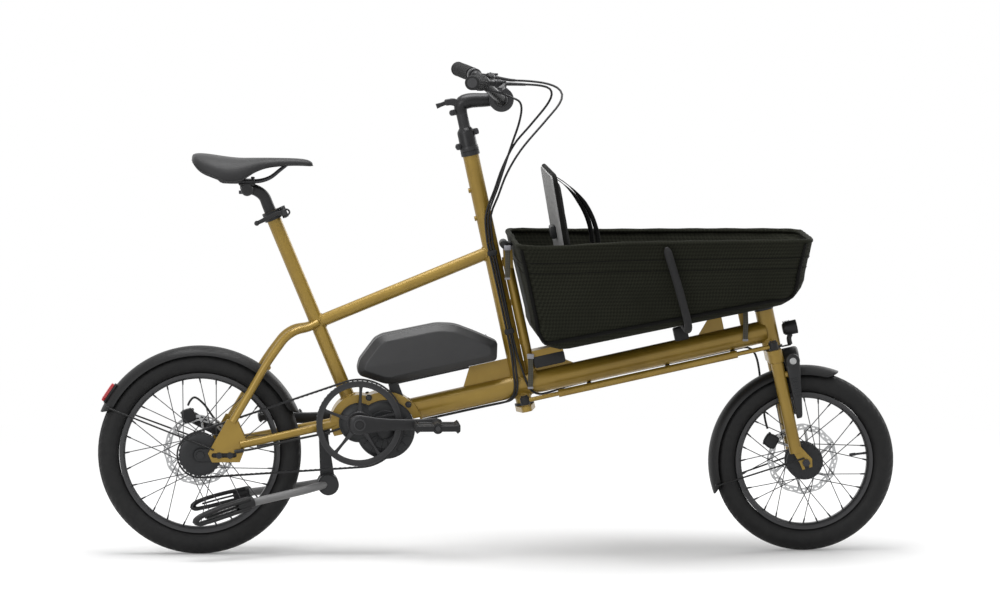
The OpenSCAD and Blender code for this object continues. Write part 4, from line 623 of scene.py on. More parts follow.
# Cast polyurethane belt: almost black, softly shiny, with faint moulding lines across it
belt_black = mottled("cast_polyurethane_belt", (4, 2.0), "#111112", "#1E1E20",
    {"Specular IOR Level": 0.3}, roughness=(0.4, 0.55))

BELT_PITCH = 11
RING_R = 55 * BELT_PITCH / (2 * math.pi)
SPROCKET_R = 28 * BELT_PITCH / (2 * math.pi)
REAR_R, FRONT_R = 227.5, 202.5
crank_axis, hub_axis = at(CRANK_X, 0, CRANK_Z), at(0, 0, REAR_R)


def belt_shape():
    """The closed belt: arcs on both wheels, straight runs with teeth on their inner face."""
    span = Vector((CRANK_X, CRANK_Z - REAR_R))
    lean = math.atan2(span.y, span.x)
    tilt = math.acos((SPROCKET_R - RING_R) / span.length)
    ring_from, ring_to = lean - tilt, lean + tilt
    centre_line = []
    for i in range(81):
        a = ring_from + (ring_to - ring_from) * i / 80
        centre_line.append((span + RING_R * Vector((math.cos(a), math.sin(a))),
            Vector((math.cos(a), math.sin(a))), 0))
    upper_a, upper_b = centre_line[-1][0], SPROCKET_R * Vector((math.cos(ring_to), math.sin(ring_to)))
    n = int((upper_b - upper_a).length / (BELT_PITCH / 4))
    for i in range(1, n):
        centre_line.append((upper_a.lerp(upper_b, i / n),
            Vector((math.cos(ring_to), math.sin(ring_to))), 1 if i % 4 < 2 else 0))
    for i in range(41):
        a = ring_to + (2 * math.pi - (ring_to - ring_from)) * i / 40
        centre_line.append((SPROCKET_R * Vector((math.cos(a), math.sin(a))),
            Vector((math.cos(a), math.sin(a))), 0))
    lower_a, lower_b = centre_line[-1][0], centre_line[0][0]
    for i in range(1, n):
        a = ring_from
        centre_line.append((lower_a.lerp(lower_b, i / n),
            Vector((math.cos(a), math.sin(a))), 1 if i % 4 < 2 else 0))
    verts, faces = [], []
    for p, out, tooth in centre_line:
        inner, outer = p + out * (0.2 - 0.6 * tooth), p + out * 3.9
        for v, y in ((inner, -59.9), (outer, -59.9), (outer, -50.1), (inner, -50.1)):
            verts.append(at(v.x, y, REAR_R + v.y))
    m = len(centre_line)
    for i in range(m):
        k = (i + 1) % m
        for j in range(4):
            q = (j + 1) % 4
            faces.append((i * 4 + j, k * 4 + j, k * 4 + q, i * 4 + q))
    return verts, faces


drive_belt = piece("toothed_belt", *belt_shape(), belt_black, "frame", sharp=30)
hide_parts("drive_belt")


def toothed_disc(teeth, outer, root, centre, y0, y1, hole):
    """A belt wheel: rounded teeth on the rim and a round hole."""
    verts, faces = [], []
    steps = teeth * 8
    for y in (y0, y1):
        for i in range(steps):
            a = 2 * math.pi * i / steps
            wave = 0.5 + 0.5 * math.cos(a * teeth)
            r = root + (outer - root) * min(1.0, max(0.0, 2.2 * wave - 0.6))
            verts.append(centre + Vector((math.cos(a) * r, y, math.sin(a) * r)) / 1000)
        for i in range(steps):
            a = 2 * math.pi * i / steps
            verts.append(centre + Vector((math.cos(a) * hole, y, math.sin(a) * hole)) / 1000)
    for i in range(steps):
        j = (i + 1) % steps
        faces += [(i, j, steps + j, steps + i), (2 * steps + i, 3 * steps + i, 3 * steps + j, 2 * steps + j),
                  (i, 2 * steps + i, 2 * steps + j, j), (steps + i, steps + j, 3 * steps + j, 3 * steps + i)]
    return verts, faces


# Anodised aluminium: deep black dye over bead-blasted metal, a tight soft highlight, and a painted highlight
# that lightens its sharp convex edges
anodised_black, tree, shader, place = surface("black_anodised_aluminium")
bead = add(tree, "TexNoise", {"Vector": place, "Scale": per_mm(0.7), "Detail": 2.0})
patch = add(tree, "TexNoise", {"Vector": place, "Scale": per_mm(35), "Detail": 3.0})
wear_and_edge_highlight = add(tree, "NewGeometry")
# Painted highlight: sharp convex edges, found by pointiness, are mixed toward a lighter grey
edge = add(tree, "MapRange", {0: wear_and_edge_highlight.outputs["Pointiness"], 1: 0.5, 2: 0.62, 3: 0.0, 4: 0.45})
shade = add(tree, "ValToRGB", {"Fac": patch.outputs["Fac"]})
shade.color_ramp.elements[0].color = srgb("#1B1B1C")
shade.color_ramp.elements[1].color = srgb("#282829")
tone = add(tree, "Mix",
    {"Factor": edge.outputs[0], 6: shade.outputs[0], 7: srgb("#5A5A5C")}, data_type="RGBA")
bead_bump = add(tree, "Bump", {"Height": bead.outputs["Fac"], "Strength": 0.1, "Distance": 0.0002})
rough = add(tree, "MapRange", {0: patch.outputs["Fac"], 3: 0.3, 4: 0.42})
tree.links.new(tone.outputs[2], shader.inputs["Base Color"])
tree.links.new(rough.outputs[0], shader.inputs["Roughness"])
tree.links.new(bead_bump.outputs[0], shader.inputs["Normal"])
shader.inputs["Metallic"].default_value = 0.45
shader.inputs["Specular IOR Level"].default_value = 0.35

spider = []
for i in range(5):
    a = math.radians(72 * i + 15)
    along, wide = Vector((math.cos(a), 0, math.sin(a))), Vector((-math.sin(a), 0, math.cos(a)))
    arm = [(22, 6.5), (40, 4.2), (60, 3.0), (78, 3.6), (RING_R - 9, 6.0)]
    outline = [Vector((r, -w)) for r, w in arm] + [Vector((r, w)) for r, w in reversed(arm)]

    def on_arm(u, y, v, along=along, wide=wide):
        """Millimetres out along this arm, to the left, and across the arm."""
        return crank_axis + (along * u + wide * v + Vector((0, y, 0))) / 1000

    spider.append(slab(outline, ((-58, 0.8), (-57.2, 0), (-52.8, 0), (-52, 0.8)), on_arm))
TO_RIGHT = Vector((0, -1, 0))
ring_teeth = toothed_disc(55, RING_R - 0.5, RING_R - 2.6, crank_axis, -59.6, -50.4, RING_R - 13)
ring_face = lathe([(RING_R - 14.6, 59.4), (RING_R - 14, 60.4), (RING_R - 4, 60.4), (RING_R - 0.6, 60.2),
    (RING_R - 0.6, 59.4)], crank_axis, TO_RIGHT, 110, closed=True)
ring_boss = lathe([(12.2, 50.4), (26, 50.4), (27, 51.4), (27, 58.4), (25.4, 59.8), (16, 59.8), (12.2, 58.6)],
    crank_axis, TO_RIGHT, 60, closed=True)
belt_ring = piece("belt_ring_spider", *joined(ring_teeth, ring_face, ring_boss, *spider), anodised_black,
    "crank", sharp=40)
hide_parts("belt_ring")
sprocket_teeth = toothed_disc(28, SPROCKET_R - 0.5, SPROCKET_R - 2.4, hub_axis, -59.2, -50.4, 12)
sprocket_face = lathe([(11.6, 59.2), (20, 60.6), (34, 60.9), (42, 60.3), (45.6, 59.0), (45.6, 58),
    (11.6, 58)], hub_axis, TO_RIGHT, 72, closed=True)
rear_sprocket = piece("rear_belt_sprocket", *joined(sprocket_teeth, sprocket_face), cast_black, "sprocket",
    sharp=40)
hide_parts("rear_sprocket")

# Cranks: forged aluminium arms 170 mm long, set opposite each other on the through axle, lighter at their
# edges by a painted highlight.
# The arm narrows and thins from the boss to the pedal eye; a self-extracting bolt closes the boss.


def crank_arm(side):
    """One forged arm lofted from boss to eye, with its bolt and pedal eye ring."""
    rows = [(-21, 12, 3), (-18, 17, 5.4), (-10, 21, 6.6), (0, 22, 7), (14, 20.5, 7),
        (36, 16.6, 6.8), (70, 13.4, 6.4), (110, 12.2, 6.0), (140, 12.6, 5.8),
        (160, 14.4, 5.8), (172, 14.6, 5.6), (181, 11, 4.6), (184.4, 6, 2.6)]
    mid = side * (82 + 7)
    verts, faces, m = [], [], 24
    for x, w, t in rows:
        for j in range(m):
            a = 2 * math.pi * j / m
            c, s = math.cos(a), math.sin(a)
            u = math.copysign(abs(c) ** 0.62, c) * w
            v = math.copysign(abs(s) ** 0.62, s) * t
            verts.append(crank_axis + Vector((-side * x, mid + v, u)) / 1000)
    for i in range(len(rows) - 1):
        for j in range(m):
            k = (j + 1) % m
            faces.append((i * m + j, i * m + k, (i + 1) * m + k, (i + 1) * m + j))
    faces += [tuple(range(m)), tuple(range((len(rows) - 1) * m, len(rows) * m))]
    out = Vector((0, side, 0))
    eye = crank_axis + Vector((-side * 170, 0, 0)) / 1000
    face = crank_axis + Vector((0, side * 95.6, 0)) / 1000
    return joined((verts, faces),
        lathe([(13, 0), (13, 1.2), (10.4, 1.6), (10, 0.4), (5.4, 0.4), (4.8, -2)], face, out, 36),
        lathe([(6, 92), (6, 196)], eye, out, 28), lathe([(9, 94.4), (9, 99.4), (7, 99.4)], eye, out, 6))


crank_axle = lathe([(11.9, -84), (11.9, 84)], crank_axis, Vector((0, 1, 0)), 40)
crank_set = piece("forged_cranks", *joined(crank_arm(-1), crank_arm(1), crank_axle), anodised_black, "crank",
    sharp=45)
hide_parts("crank_set")

# Pedals: flat nylon platforms moulded round a bearing barrel and screwed to the arms.
# Each has a waisted cage and two rows of grip pins a side.


def pedal(side):
    """Cage rails, barrel, cross ribs and pins of one platform pedal."""
    centre = crank_axis + Vector((-side * 170, 0, 0)) / 1000
    y_in, y_out = 100.4, 191.6

    def put(u, y, v):
        """Millimetres ahead of, out from and above the middle of the pedal's axle."""
        return centre + Vector((u, side * y, v)) / 1000

    cage = []
    for x in (-1, 1):
        outline = rounded([(x * 50.5, -8), (x * 50.5, 8), (x * 45, 11),
            (x * 39, 8), (x * 39, -8), (x * 45, -11)], 4, 3)
        cage.append(slab(outline, ((y_in + 6, 2), (y_in + 8, 0), (y_out - 8, 0), (y_out - 6, 2)), put))
    for y in (y_in, y_in + 43, y_out - 9):
        outline = rounded([(-48, -7), (48, -7), (50, 0), (48, 7), (-48, 7), (-50, 0)], 5, 3)
        cage.append(slab(outline, ((y, 1.5), (y + 1.5, 0), (y + 7.5, 0), (y + 9, 1.5)), put))
    barrel = lathe([(7, y_in), (12, y_in + 1), (12, y_in + 8), (10, y_in + 12), (10, y_out - 12),
        (12, y_out - 7), (12, y_out - 0.6), (7, y_out)], centre, Vector((0, side, 0)), 32)
    pins = []
    for x in (-45, 45):
        for y in (y_in + 14, y_in + 30, y_in + 58, y_in + 76):
            pins.append(lathe([(1.8, -12), (1.8, 12)], put(x, y, 0), Vector((0, 0, 1)), 10))
    return joined(*cage, barrel, *pins)


pedal_left = piece("platform_pedal_left", *pedal(1), black_nylon, "pedal_left")
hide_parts("pedal_left")
pedal_right = piece("platform_pedal_right", *pedal(-1), black_nylon, "pedal_right")
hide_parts("pedal_right")

# Wheels: 18 inch behind and 16 inch in front, 28 crossed spokes each in black alloy rims, discs on the left.
# Rims and spokes are the imported solids; nipples, valve and hub shells are turned, the discs cut from sheet.

# Anodised double-wall rim: satin black, with a painted highlight that lightens the sharp edges of its turned
# flank
dress(anodised_black, "front_rim", "rear_rim")

# Black-coated stainless spokes: thin, dark grey, a hard bright line along each
spoke_black = mottled("black_coated_spoke_steel", (6, 2.0), "#2E2E30", "#454547",
    {"Metallic": 0.7}, roughness=(0.28, 0.38))
dress(spoke_black, "front_spokes", "rear_spokes")

# Punched stainless disc: bright grey, its band brushed in rings by the pads
disc_steel = mottled("brushed_stainless_disc", (1.4, 4.0), "#A2A3A4", "#C6C7C8",
    {"Metallic": 1.0}, roughness=(0.24, 0.4))

# Moulded tyre rubber: soft charcoal black, slightly dusty in the tread, a dull sheen on the flank
tyre_rubber = mottled("moulded_tyre_rubber", (18, 5.0), "#141415", "#1F1F1F",
    {"Sheen Weight": 0.05, "Specular IOR Level": 0.25}, roughness=(0.5, 0.68), relief=(0.8, 2.0, 0.2, 0.0003),
    span=(0.35, 0.75))

TO_LEFT = Vector((0, 1, 0))
front_axis = at(1356.988, 0, FRONT_R)


def tyre_shape(axle, outer):
    """A balloon tyre: round casing, moulded flank lines and a tread of slanted blocks between two grooves."""
    mid, r = outer - 25, 24.9
    steps = int(2 * math.pi * outer / 3.2) // 12 * 12
    angles = [math.radians(a) for a in range(-154, 155, 7)]

    def tread(a, k):
        """How far a point of the casing lies below the tread's face at this turn of the wheel."""
        if k >= len(angles):
            return 0.0
        lean = math.degrees(angles[k])
        if abs(lean) > 58:
            return -0.5 if 78 < abs(lean) < 83 or 118 < abs(lean) < 123 else 0.0
        turn = a * outer / 19.0
        if abs(abs(lean) - 24) < 4:
            return -1.5
        if abs(lean) < 20:
            return -0.9 if (turn + lean / 30) % 1.0 < 0.2 else 0.0
        return -1.5 if (turn - abs(lean) / 45 + 0.3) % 1.0 < 0.24 else 0.0
    profile = [(mid + r * math.cos(t), r * math.sin(t)) for t in angles]
    return lathe(profile + [(p[0] + 1.5 * (1 if p[0] < mid else 0), p[1] * 0.86)
        for p in (profile[-1], profile[0])], axle, TO_LEFT, steps, closed=True, ripple=tread)


def rim_fittings(outer):
    """Place and direction of each spoke nipple in the wheel's own axes, and the rim's inner radius."""
    inner = outer - 48 - 13
    shapes = []
    for i in range(28):
        side, lean = (1, -1)[i % 2], (1, -1)[(i // 2) % 2]
        a, b = 2 * math.pi * i / 28, 2 * math.pi * i / 28 + lean * math.radians(48)
        rim_end = Vector(((inner + 1) * math.cos(a), (inner + 1) * math.sin(a), side * 4))
        hub_end = Vector((42 * math.cos(b), 42 * math.sin(b), side * 27))
        shapes.append((rim_end, (hub_end - rim_end).normalized()))
    return shapes, inner


def wheel_put(axle, v):
    """From the wheel's own axes, third one to the right of the bicycle, to the shared frame."""
    return axle + Vector((v.x, -v.z, v.y)) / 1000


for name, axle, outer, body in (("rear", hub_axis, REAR_R,
        "rear_wheel"), ("front", front_axis, FRONT_R, "front_wheel")):
    tyre = piece(name + "_balloon_tyre", *tyre_shape(axle, outer), tyre_rubber, body, sharp=40)
    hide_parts(name + "_tyre")
    nipples, inner = rim_fittings(outer)
    bits = []
    for root, along in nipples:
        p = wheel_put(axle, root)
        d = Vector((along.x, -along.z, along.y))
        bits.append(lathe([(1.9, -1), (1.9, 7), (1.5, 11), (1.1, 12)], p, d, 10))
    rise = Vector((math.cos(0.112), 0, math.sin(0.112)))
    base = axle + rise * (inner / 1000)
    bits.append(lathe([(3, 1), (3, -6), (2.6, -7), (2.6, -24), (3.6, -24), (3.6, -36), (2, -38)],
        base, rise, 16))
    piece(name + "_nipples_and_valve", *joined(*bits), oxide_steel, body)

# Hubs: a cast gear hub behind and a dynamo in front, both painted black, with the spokes' heads in their
# flanges. A disc of stainless sheet on a six-armed carrier is bolted to the left of each.
for name, axle, shell, half, disc_y, body in (
        ("rear", hub_axis, 36, 61.0, 54, "rear_wheel"), ("front", front_axis, 33, 54.6, 31.4, "front_wheel")):
    flange = shell + 8
    profile = [(5.4, -half), (10.8, -half), (10.8, -31), (20, -30.5), (flange, -29.4), (flange, -24.6),
        (shell + 1, -23), (shell, -18), (shell - 1.5, 0), (shell, 18), (shell + 1, 23), (flange, 24.6),
        (flange, 29.4), (20, 30.5), (10.8, 31), (10.8, half), (5.4, half)]
    spoke_heads = []
    for i in range(14):
        for y in (-27, 27):
            a = 2 * math.pi * (i + 0.5 * (y > 0)) / 14
            spot = axle + Vector((math.cos(a) * (flange - 4), y - 3 * (1 if y < 0 else -1),
                math.sin(a) * (flange - 4))) / 1000
            spoke_heads.append(lathe([(1.9, 0), (2.2, 0.5), (1.5, 1.3)],
                spot, Vector((0, 1 if y > 0 else -1, 0)), 8))
    hub = piece(name + "_hub_shell", *joined(lathe(profile, axle, TO_LEFT, 72), *spoke_heads),
        cast_black, body, sharp=40)
    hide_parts(name + "_hub")
    verts, faces, n = [], [], 144
    for y in (disc_y, disc_y + 2):
        for row in (0, 0.27, 0.52, 0.77, 1):
            for i in range(n):
                a = 2 * math.pi * i / n
                r = 64.8 + 1.4 * math.cos(12 * a) * (1 - row) + (14 + math.cos(12 * a)) * row
                verts.append(axle + Vector((math.cos(a) * r, y, math.sin(a) * r)) / 1000)

    def cut(row, i):
        """Whether this cell of the band lies outside it or in a punched slot."""
        return row not in (0, 1, 2, 3) or (row == 1 and i % 6 in (0, 1)) or (row == 2 and i % 6 in (3, 4))

    for row in range(4):
        for i in range(n):
            if cut(row, i):
                continue
            a, b = row * n + i, row * n + (i + 1) % n
            ring = (a, b, b + n, a + n)
            faces += [ring, tuple(k + 5 * n for k in ring)]
            beside = (cut(row - 1, i), cut(row, i + 1), cut(row + 1, i), cut(row, i - 1))
            for k, bare in enumerate(beside):
                if bare:
                    p, q = ring[k], ring[(k + 1) % 4]
                    faces.append((p, q, q + 5 * n, p + 5 * n))
    arms = []
    for i in range(6):
        a = math.radians(60 * i + 8)
        p, q = Vector((math.cos(a), 0, math.sin(a))), Vector((math.cos(a + 0.3), 0, math.sin(a + 0.3)))
        ends = [axle + (p * 20 + Vector((0, disc_y + 1, 0))) / 1000,
            axle + ((p + q) * 22 + Vector((0, disc_y + 1, 0))) / 1000,
            axle + (q * 66 + Vector((0, disc_y + 1, 0))) / 1000]
        arms.append(tube(smooth_run(ends, 8), 0.0031, 10))
    centre = lathe([(12, disc_y - 1), (21, disc_y - 1), (23, disc_y), (23, disc_y + 2),
        (21, disc_y + 3), (12, disc_y + 3)], axle, TO_LEFT, 48, closed=True)
    disc = piece(name + "_brake_disc", *joined((verts, faces), *arms, centre), disc_steel, body, sharp=40)
    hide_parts(name + "_hub")

# Fork: gold steel like the frame, two blades welded into the crown, with forged dropouts.
# The axle and its nuts are black steel.
FORK_RUN = 943
dress(gold_coat, "fork")
dress(oxide_steel, "front_axle")
crown_beads = []
for side in (-1, 1):
    ring = [on_boom(FORK_RUN + 14.2 * math.cos(a), side * 49 + 14.2 * math.sin(a), -68.4) for a in
            [2 * math.pi * i / 56 for i in range(56)]]
    crown_beads.append(tube(ring, [0.0022 + 0.0004 * math.sin(i * 1.9) for i in range(56)], 8, closed=True))
piece("fork_weld_beads", *joined(*crown_beads), gold_coat, "fork")

# Fenders: thin moulded polypropylene, rolled at the edges, with wire stays and end clips in the same black.
# The rear one hangs in the frame; the front one is held by a tongue under the fork's crown.


def fender_shape(axle, outer, start, stop, stretch):
    """A curved shell along the tyre, rolled inward at both edges, with a rounded tip at each end."""
    verts, faces = [], []
    steps, across = 90, 14
    for layer in (0, 1):
        for i in range(steps + 1):
            t = i / steps
            a = math.radians(start + (stop - start) * t)
            near_end = min(t, 1 - t) * (stop - start) / 360 * 2 * math.pi * outer
            wide = 1.0 if near_end > stretch else math.sqrt(max(0.06, 1 - (1 - near_end / stretch) ** 2))
            for j in range(across + 1):
                lean = math.radians(62 * wide * (2 * j / across - 1))
                r = 35.6 - 1.9 * layer
                radius = outer - 36 + r * math.cos(lean)
                edge = 1.2 if abs(2 * j / across - 1) > 0.97 else 0.0
                y = r * math.sin(lean)
                verts.append(
                    axle + Vector((math.cos(a) * (radius - edge), y, math.sin(a) * (radius - edge))) / 1000)
    row, layer_n = across + 1, (steps + 1) * (across + 1)
    for i in range(steps):
        for j in range(across):
            k = i * row + j
            faces.append((k, k + 1, k + row + 1, k + row))
            faces.append((layer_n + k, layer_n + k + row, layer_n + k + row + 1, layer_n + k + 1))
        for k in (i * row, i * row + across):
            faces.append((k, k + row, layer_n + k + row, layer_n + k))
    for k in list(range(across)) + [steps * row + j for j in range(across)]:
        faces.append((k, k + 1, layer_n + k + 1, layer_n + k))
    return verts, faces


# Moulded polypropylene: black with a faint green-grey bloom, satin, barely visible flow lines
fender_black = mottled("moulded_polypropylene_fender", (22, 4.0), "#0F0F10", "#171718",
    {"Specular IOR Level": 0.3}, roughness=(0.38, 0.5), Distortion=0.6)


def fender_stays(axle, outer, tail_a, foot):
    """The two wires from the tail of a fender to the dropouts, with their clips."""
    a = math.radians(tail_a)
    tail = axle + Vector((math.cos(a), 0, math.sin(a))) * ((outer - 11) / 1000)
    parts = []
    for side in (-1, 1):
        start = tail + Vector((0, side * 0.037, 0))
        end = Vector((foot.x, side * foot.y, foot.z))
        parts.append(tube([start, start.lerp(end, 0.5), end], 0.0019, 10))
        parts.append(lathe([(3.9, -6), (3.9, 2.6), (3, 3.4)],
            start - Vector((0, side * 0.001, 0)), Vector((0, side, 0)), 14))
    return parts


rear_fender = piece("rear_fender_shell",
    *joined(fender_shape(hub_axis, 241, 22, 157, 26),
    *fender_stays(hub_axis, 241, 153, at(30, 76.3, 240))), fender_black, "frame", sharp=50)
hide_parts("rear_fender")
tongue = box((FORK_RUN - 6, -7, -92), (FORK_RUN + 6, 7, -72), 1.5, on_boom)
front_fender = piece("front_fender_shell",
    *joined(fender_shape(front_axis, 216, 69, 200, 30),
    *fender_stays(front_axis, 216, 195, front_axis + Vector((-0.004, 0.0636, 0.011))),
    tongue), fender_black, "fork", sharp=50)
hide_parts("front_fender")

# Lamps: a red rear lens on a nylon base, screwed to the fender's tail, and a small headlight on a bent tongue
# over the crown, with a clear lens in a ribbed black hood.

# Moulded red acrylic: clear deep red with prism rows, drawn about 6 mm apart so that they show
red_lens, tree, shader, place = surface("moulded_red_acrylic")
rows = add(tree, "TexWave", {"Vector": place, "Scale": per_mm(20), "Distortion": 0.0}, bands_direction="Y")
shade = add(tree, "ValToRGB", {"Fac": rows.outputs["Fac"]})
shade.color_ramp.elements[0].color = srgb("#B81420")
shade.color_ramp.elements[1].color = srgb("#DA2B33")
ridge = add(tree, "Bump", {"Height": rows.outputs["Fac"], "Strength": 0.4, "Distance": 0.0006})
tree.links.new(shade.outputs[0], shader.inputs["Base Color"])
tree.links.new(ridge.outputs[0], shader.inputs["Normal"])
shader.inputs["Roughness"].default_value = 0.12
shader.inputs["Coat Weight"].default_value = 0.6


def arc_block(axle, r0, r1, a0, a1, half, edge):
    """A block bent along a wheel, from radius r0 to r1 and angle a0 to a1, half as wide as given each way."""
    outline = rounded([(a0, r0), (a1, r0), (a1, r1), (a0, r1)], edge, 4)

    def put(a, y, r):
        """Degrees round the wheel, millimetres to the left and out from the axle."""
        t = math.radians(a)
        return axle + Vector((math.cos(t) * r, y, math.sin(t) * r)) / 1000

    return slab(outline, ((-half, 0.6), (-half + 1.2, 0), (half - 1.2, 0), (half, 0.6)), put)


tail_lens = piece("tail_lens", *arc_block(hub_axis, 243.6, 250.4, 141, 151.4, 12.4, 1.6), red_lens, "frame")
tail_base = piece("tail_lamp_base",
    *arc_block(hub_axis, 238.6, 244.2, 140.2, 151.9, 13.8, 1.4), black_nylon, "frame")
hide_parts("tail_light")
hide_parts("tail_light")

FORWARD = on_boom(1, 0, 0) - on_boom(0, 0, 0)
UP = on_boom(0, 0, 1) - on_boom(0, 0, 0)
light_axis = on_boom(974, 0, -4)
hood = lathe([(6, 0.4), (10, 0.8), (13.6, 4), (15.6, 10), (15.8, 26),
    (15.8, 33.4), (14.4, 33.6), (13.8, 31)], light_axis, FORWARD, 48)
fins = [box((978 + 3.4 * i, -9, 9.6), (979.6 + 3.4 * i, 9, 12.9), 0.5, on_boom) for i in range(5)]
lamp_neck = tube(smooth_run([on_boom(990, 0, -18), on_boom(985, 0, -26), on_boom(984.4, 0, -41)],
    10), 0.0056, 16)
lamp_tongue = [box((964, -8.8, -42.4), (986, 8.8, -40.2), 0.8, on_boom),
    box((982.4, -8.8, -42), (986, 8.8, -14), 1.2, on_boom)]
headlight = piece("headlight_hood", *joined(hood, *fins, lamp_neck, *lamp_tongue), black_nylon, "fork")
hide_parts("headlight")

# Clear polycarbonate lens over a faceted mirror: pale grey glass with a bright rim
lens_clear, tree, shader, place = surface("clear_polycarbonate_lens")
facet = add(tree, "TexVoronoi", {"Vector": place, "Scale": per_mm(5)})
shade = add(tree, "ValToRGB", {"Fac": facet.outputs["Distance"]})
shade.color_ramp.elements[0].color = srgb("#D9DDE0")
shade.color_ramp.elements[1].color = srgb("#A9AEB2")
facet_bump = add(tree, "Bump", {"Height": facet.outputs["Distance"], "Strength": 0.35, "Distance": 0.001})
tree.links.new(shade.outputs[0], shader.inputs["Base Color"])
tree.links.new(facet_bump.outputs[0], shader.inputs["Normal"])
shader.inputs["Roughness"].default_value = 0.08
shader.inputs["Metallic"].default_value = 0.5
piece("headlight_lens", *lathe([(13.9, 29.6), (13.2, 31.6), (9, 32.8), (0.4, 33.3)],
    light_axis, FORWARD, 40), lens_clear, "fork")

# Ring lock: a cast shackle housing ahead of the fork blades, deep at the top and tapering down its legs.
# The key barrel faces right, a ribbed slide runs down the right leg, and two gold lugs on the blades hold it.
TOP = 41.4 + 5
LOCK_S = FORK_RUN + 14 + 4


def lock_put(y, s, h):
    """A point of the lock, its depth ahead of the fork stretched at the top and drawn in at the foot."""
    down = min(1.0, max(0.0, (-TOP - h) / 157))
    return on_boom(LOCK_S + (s - LOCK_S) * (1.6 - 1.05 * down), y, h)


outer_arc = [(62 * math.cos(a), -TOP - 62 + 62 * math.sin(a))
    for a in [math.radians(d) for d in range(0, 181, 6)]]
inner_arc = [(38.5 * math.cos(a), -TOP - 62 + 38.5 * math.sin(a))
    for a in [math.radians(d) for d in range(180, -1, -6)]]
horseshoe = [Vector(p) for p in outer_arc] + [Vector(p)
    for p in ((-61, -TOP - 90), (-57.5, -TOP - 140), (-54, -TOP - 153), (-48, -TOP - 156.6),
    (-42, -TOP - 153), (-39, -TOP - 140), (-38.5, -TOP - 90))]
horseshoe += [Vector(p) for p in inner_arc] + [Vector(p)
    for p in ((38.5, -TOP - 90), (39, -TOP - 140), (42, -TOP - 153),
    (48, -TOP - 156.6), (54, -TOP - 153), (57.5, -TOP - 140), (61, -TOP - 90))]
ring_body = slab(horseshoe, ((LOCK_S + 0.3, 2.6), (LOCK_S + 1.2, 1), (LOCK_S + 3, 0), (LOCK_S + 19, 0),
    (LOCK_S + 22, 1.6), (LOCK_S + 23.7, 5)), lock_put)
shoulder = lathe([(15.6, 0), (16, 6), (15, 9), (11, 11), (8.6, 11.2)],
    on_boom(LOCK_S + 18, -46, -TOP - 27), -TO_LEFT, 40)
ribs = [box((LOCK_S + 6, -63.4 + 0.5 * i, -TOP - 68 - 8 * i),
    (LOCK_S + 19, -58, -TOP - 64.6 - 8 * i), 0.9, on_boom) for i in range(6)]
lugs = [lathe([(7, 4), (7, LOCK_S - FORK_RUN + 0.6)],
    on_boom(FORK_RUN, side * 49, -100), FORWARD, 24) for side in (-1, 1)]
ring_lock = piece("ring_lock_housing", *joined(ring_body, shoulder, *ribs), cast_black, "fork", sharp=40)
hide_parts("ring_lock")
lock_lugs = piece("ring_lock_lugs", *joined(*lugs), gold_coat, "fork")
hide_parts("ring_lock")
key_barrel = lathe([(7.6, 10), (7.6, 12), (6.6, 12.6), (6.4, 11.6), (0.4, 11.6)],
    on_boom(LOCK_S + 18, -46, -TOP - 27), -TO_LEFT, 32)
piece("ring_lock_key_barrel", *key_barrel, plated_steel, "fork")

# Disc brakes: a two-piston caliper over each disc, a cast body painted black with cooling fins.
# The rear one is bolted to an arm on the dropout, the front one to a stub on the left fork blade.


def caliper_shape(axle, angle, disc_y, inward, outward):
    """The caliper body as two halves bridged over the disc, with fins and bolts."""
    a = math.radians(angle)
    radial, along = Vector((math.cos(a), 0, math.sin(a))), Vector((-math.sin(a), 0, math.cos(a)))

    def put(u, y, v):
        """Millimetres out from the axle, to the left, and along the disc's edge."""
        return axle + (radial * u + along * v + Vector((0, y, 0))) / 1000

    body = rounded([(66.5, -14), (80, -16.6), (96, -13), (97.6, 0), (96, 13), (80, 16.6), (66.5, 14)], 6, 4)
    inner = slab(body, ((disc_y - inward + 0.2, 3), (disc_y - inward + 2, 0.6), (disc_y - 2.2, 0),
        (disc_y - 1.3, 0.5)), put)
    outer = slab(body, ((disc_y + 3.3, 0.5), (disc_y + 4.2, 0), (disc_y + outward - 3, 0.6),
        (disc_y + outward - 0.4, 3.4)), put)
    top = slab(rounded([(84.4, -15), (97, -11), (97, 11), (84.4, 15)], 3, 3),
        ((disc_y - 3, 0.4), (disc_y - 2, 0), (disc_y + 4, 0), (disc_y + 5, 0.4)), put)
    fins = [slab(rounded([(67.5, v - 1.2), (96, v - 1.2), (96, v + 1.2), (67.5, v + 1.2)], 1, 2),
                 ((disc_y + outward - 2, 0), (disc_y + outward, 0.3)), put) for v in (-9, -4.5, 0, 4.5, 9)]
    heads = [bolt(put(91, disc_y + outward - 4, v), Vector((0, 1, 0)), 3.4, 4) for v in (-12.5, 12.5)]
    return joined(inner, outer, top, *fins, *heads)


a = math.radians(107)
rear_pad = Vector((math.cos(a) * 80, REAR_R + math.sin(a) * 80))
arm = rounded([(rear_pad.x - 13, rear_pad.y - 6), (rear_pad.x + 2, rear_pad.y + 13),
    (rear_pad.x + 15, rear_pad.y + 8), (62, 270), (63, 256), (50, 252.5)], 6, 4)
rear_arm = slab(arm, ((62.7, 1), (63.4, 0), (66.6, 0), (67.3, 1)), at)
rear_caliper = piece("rear_brake_caliper", *joined(
    caliper_shape(hub_axis, 107, 54, 11, 10.5), rear_arm,
    bolt(at(55, 62.9, 262), Vector((0, -1, 0)), 4.5, 4)), cast_black, "frame")
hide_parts("rear_caliper")
a = math.radians(150)
front_hold = front_axis + Vector((math.cos(a) * 84.8, 46, math.sin(a) * 84.8)) / 1000
blade_spot = on_boom(FORK_RUN, 49, -241.1)
stub = tube([front_hold, front_hold.lerp(blade_spot, 0.45), front_hold.lerp(blade_spot, 0.72)], 0.0058, 20)
front_caliper = piece("front_brake_caliper", *joined(caliper_shape(front_axis, 150, 31.4, 5, 17), stub),
    cast_black, "fork")
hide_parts("front_caliper")

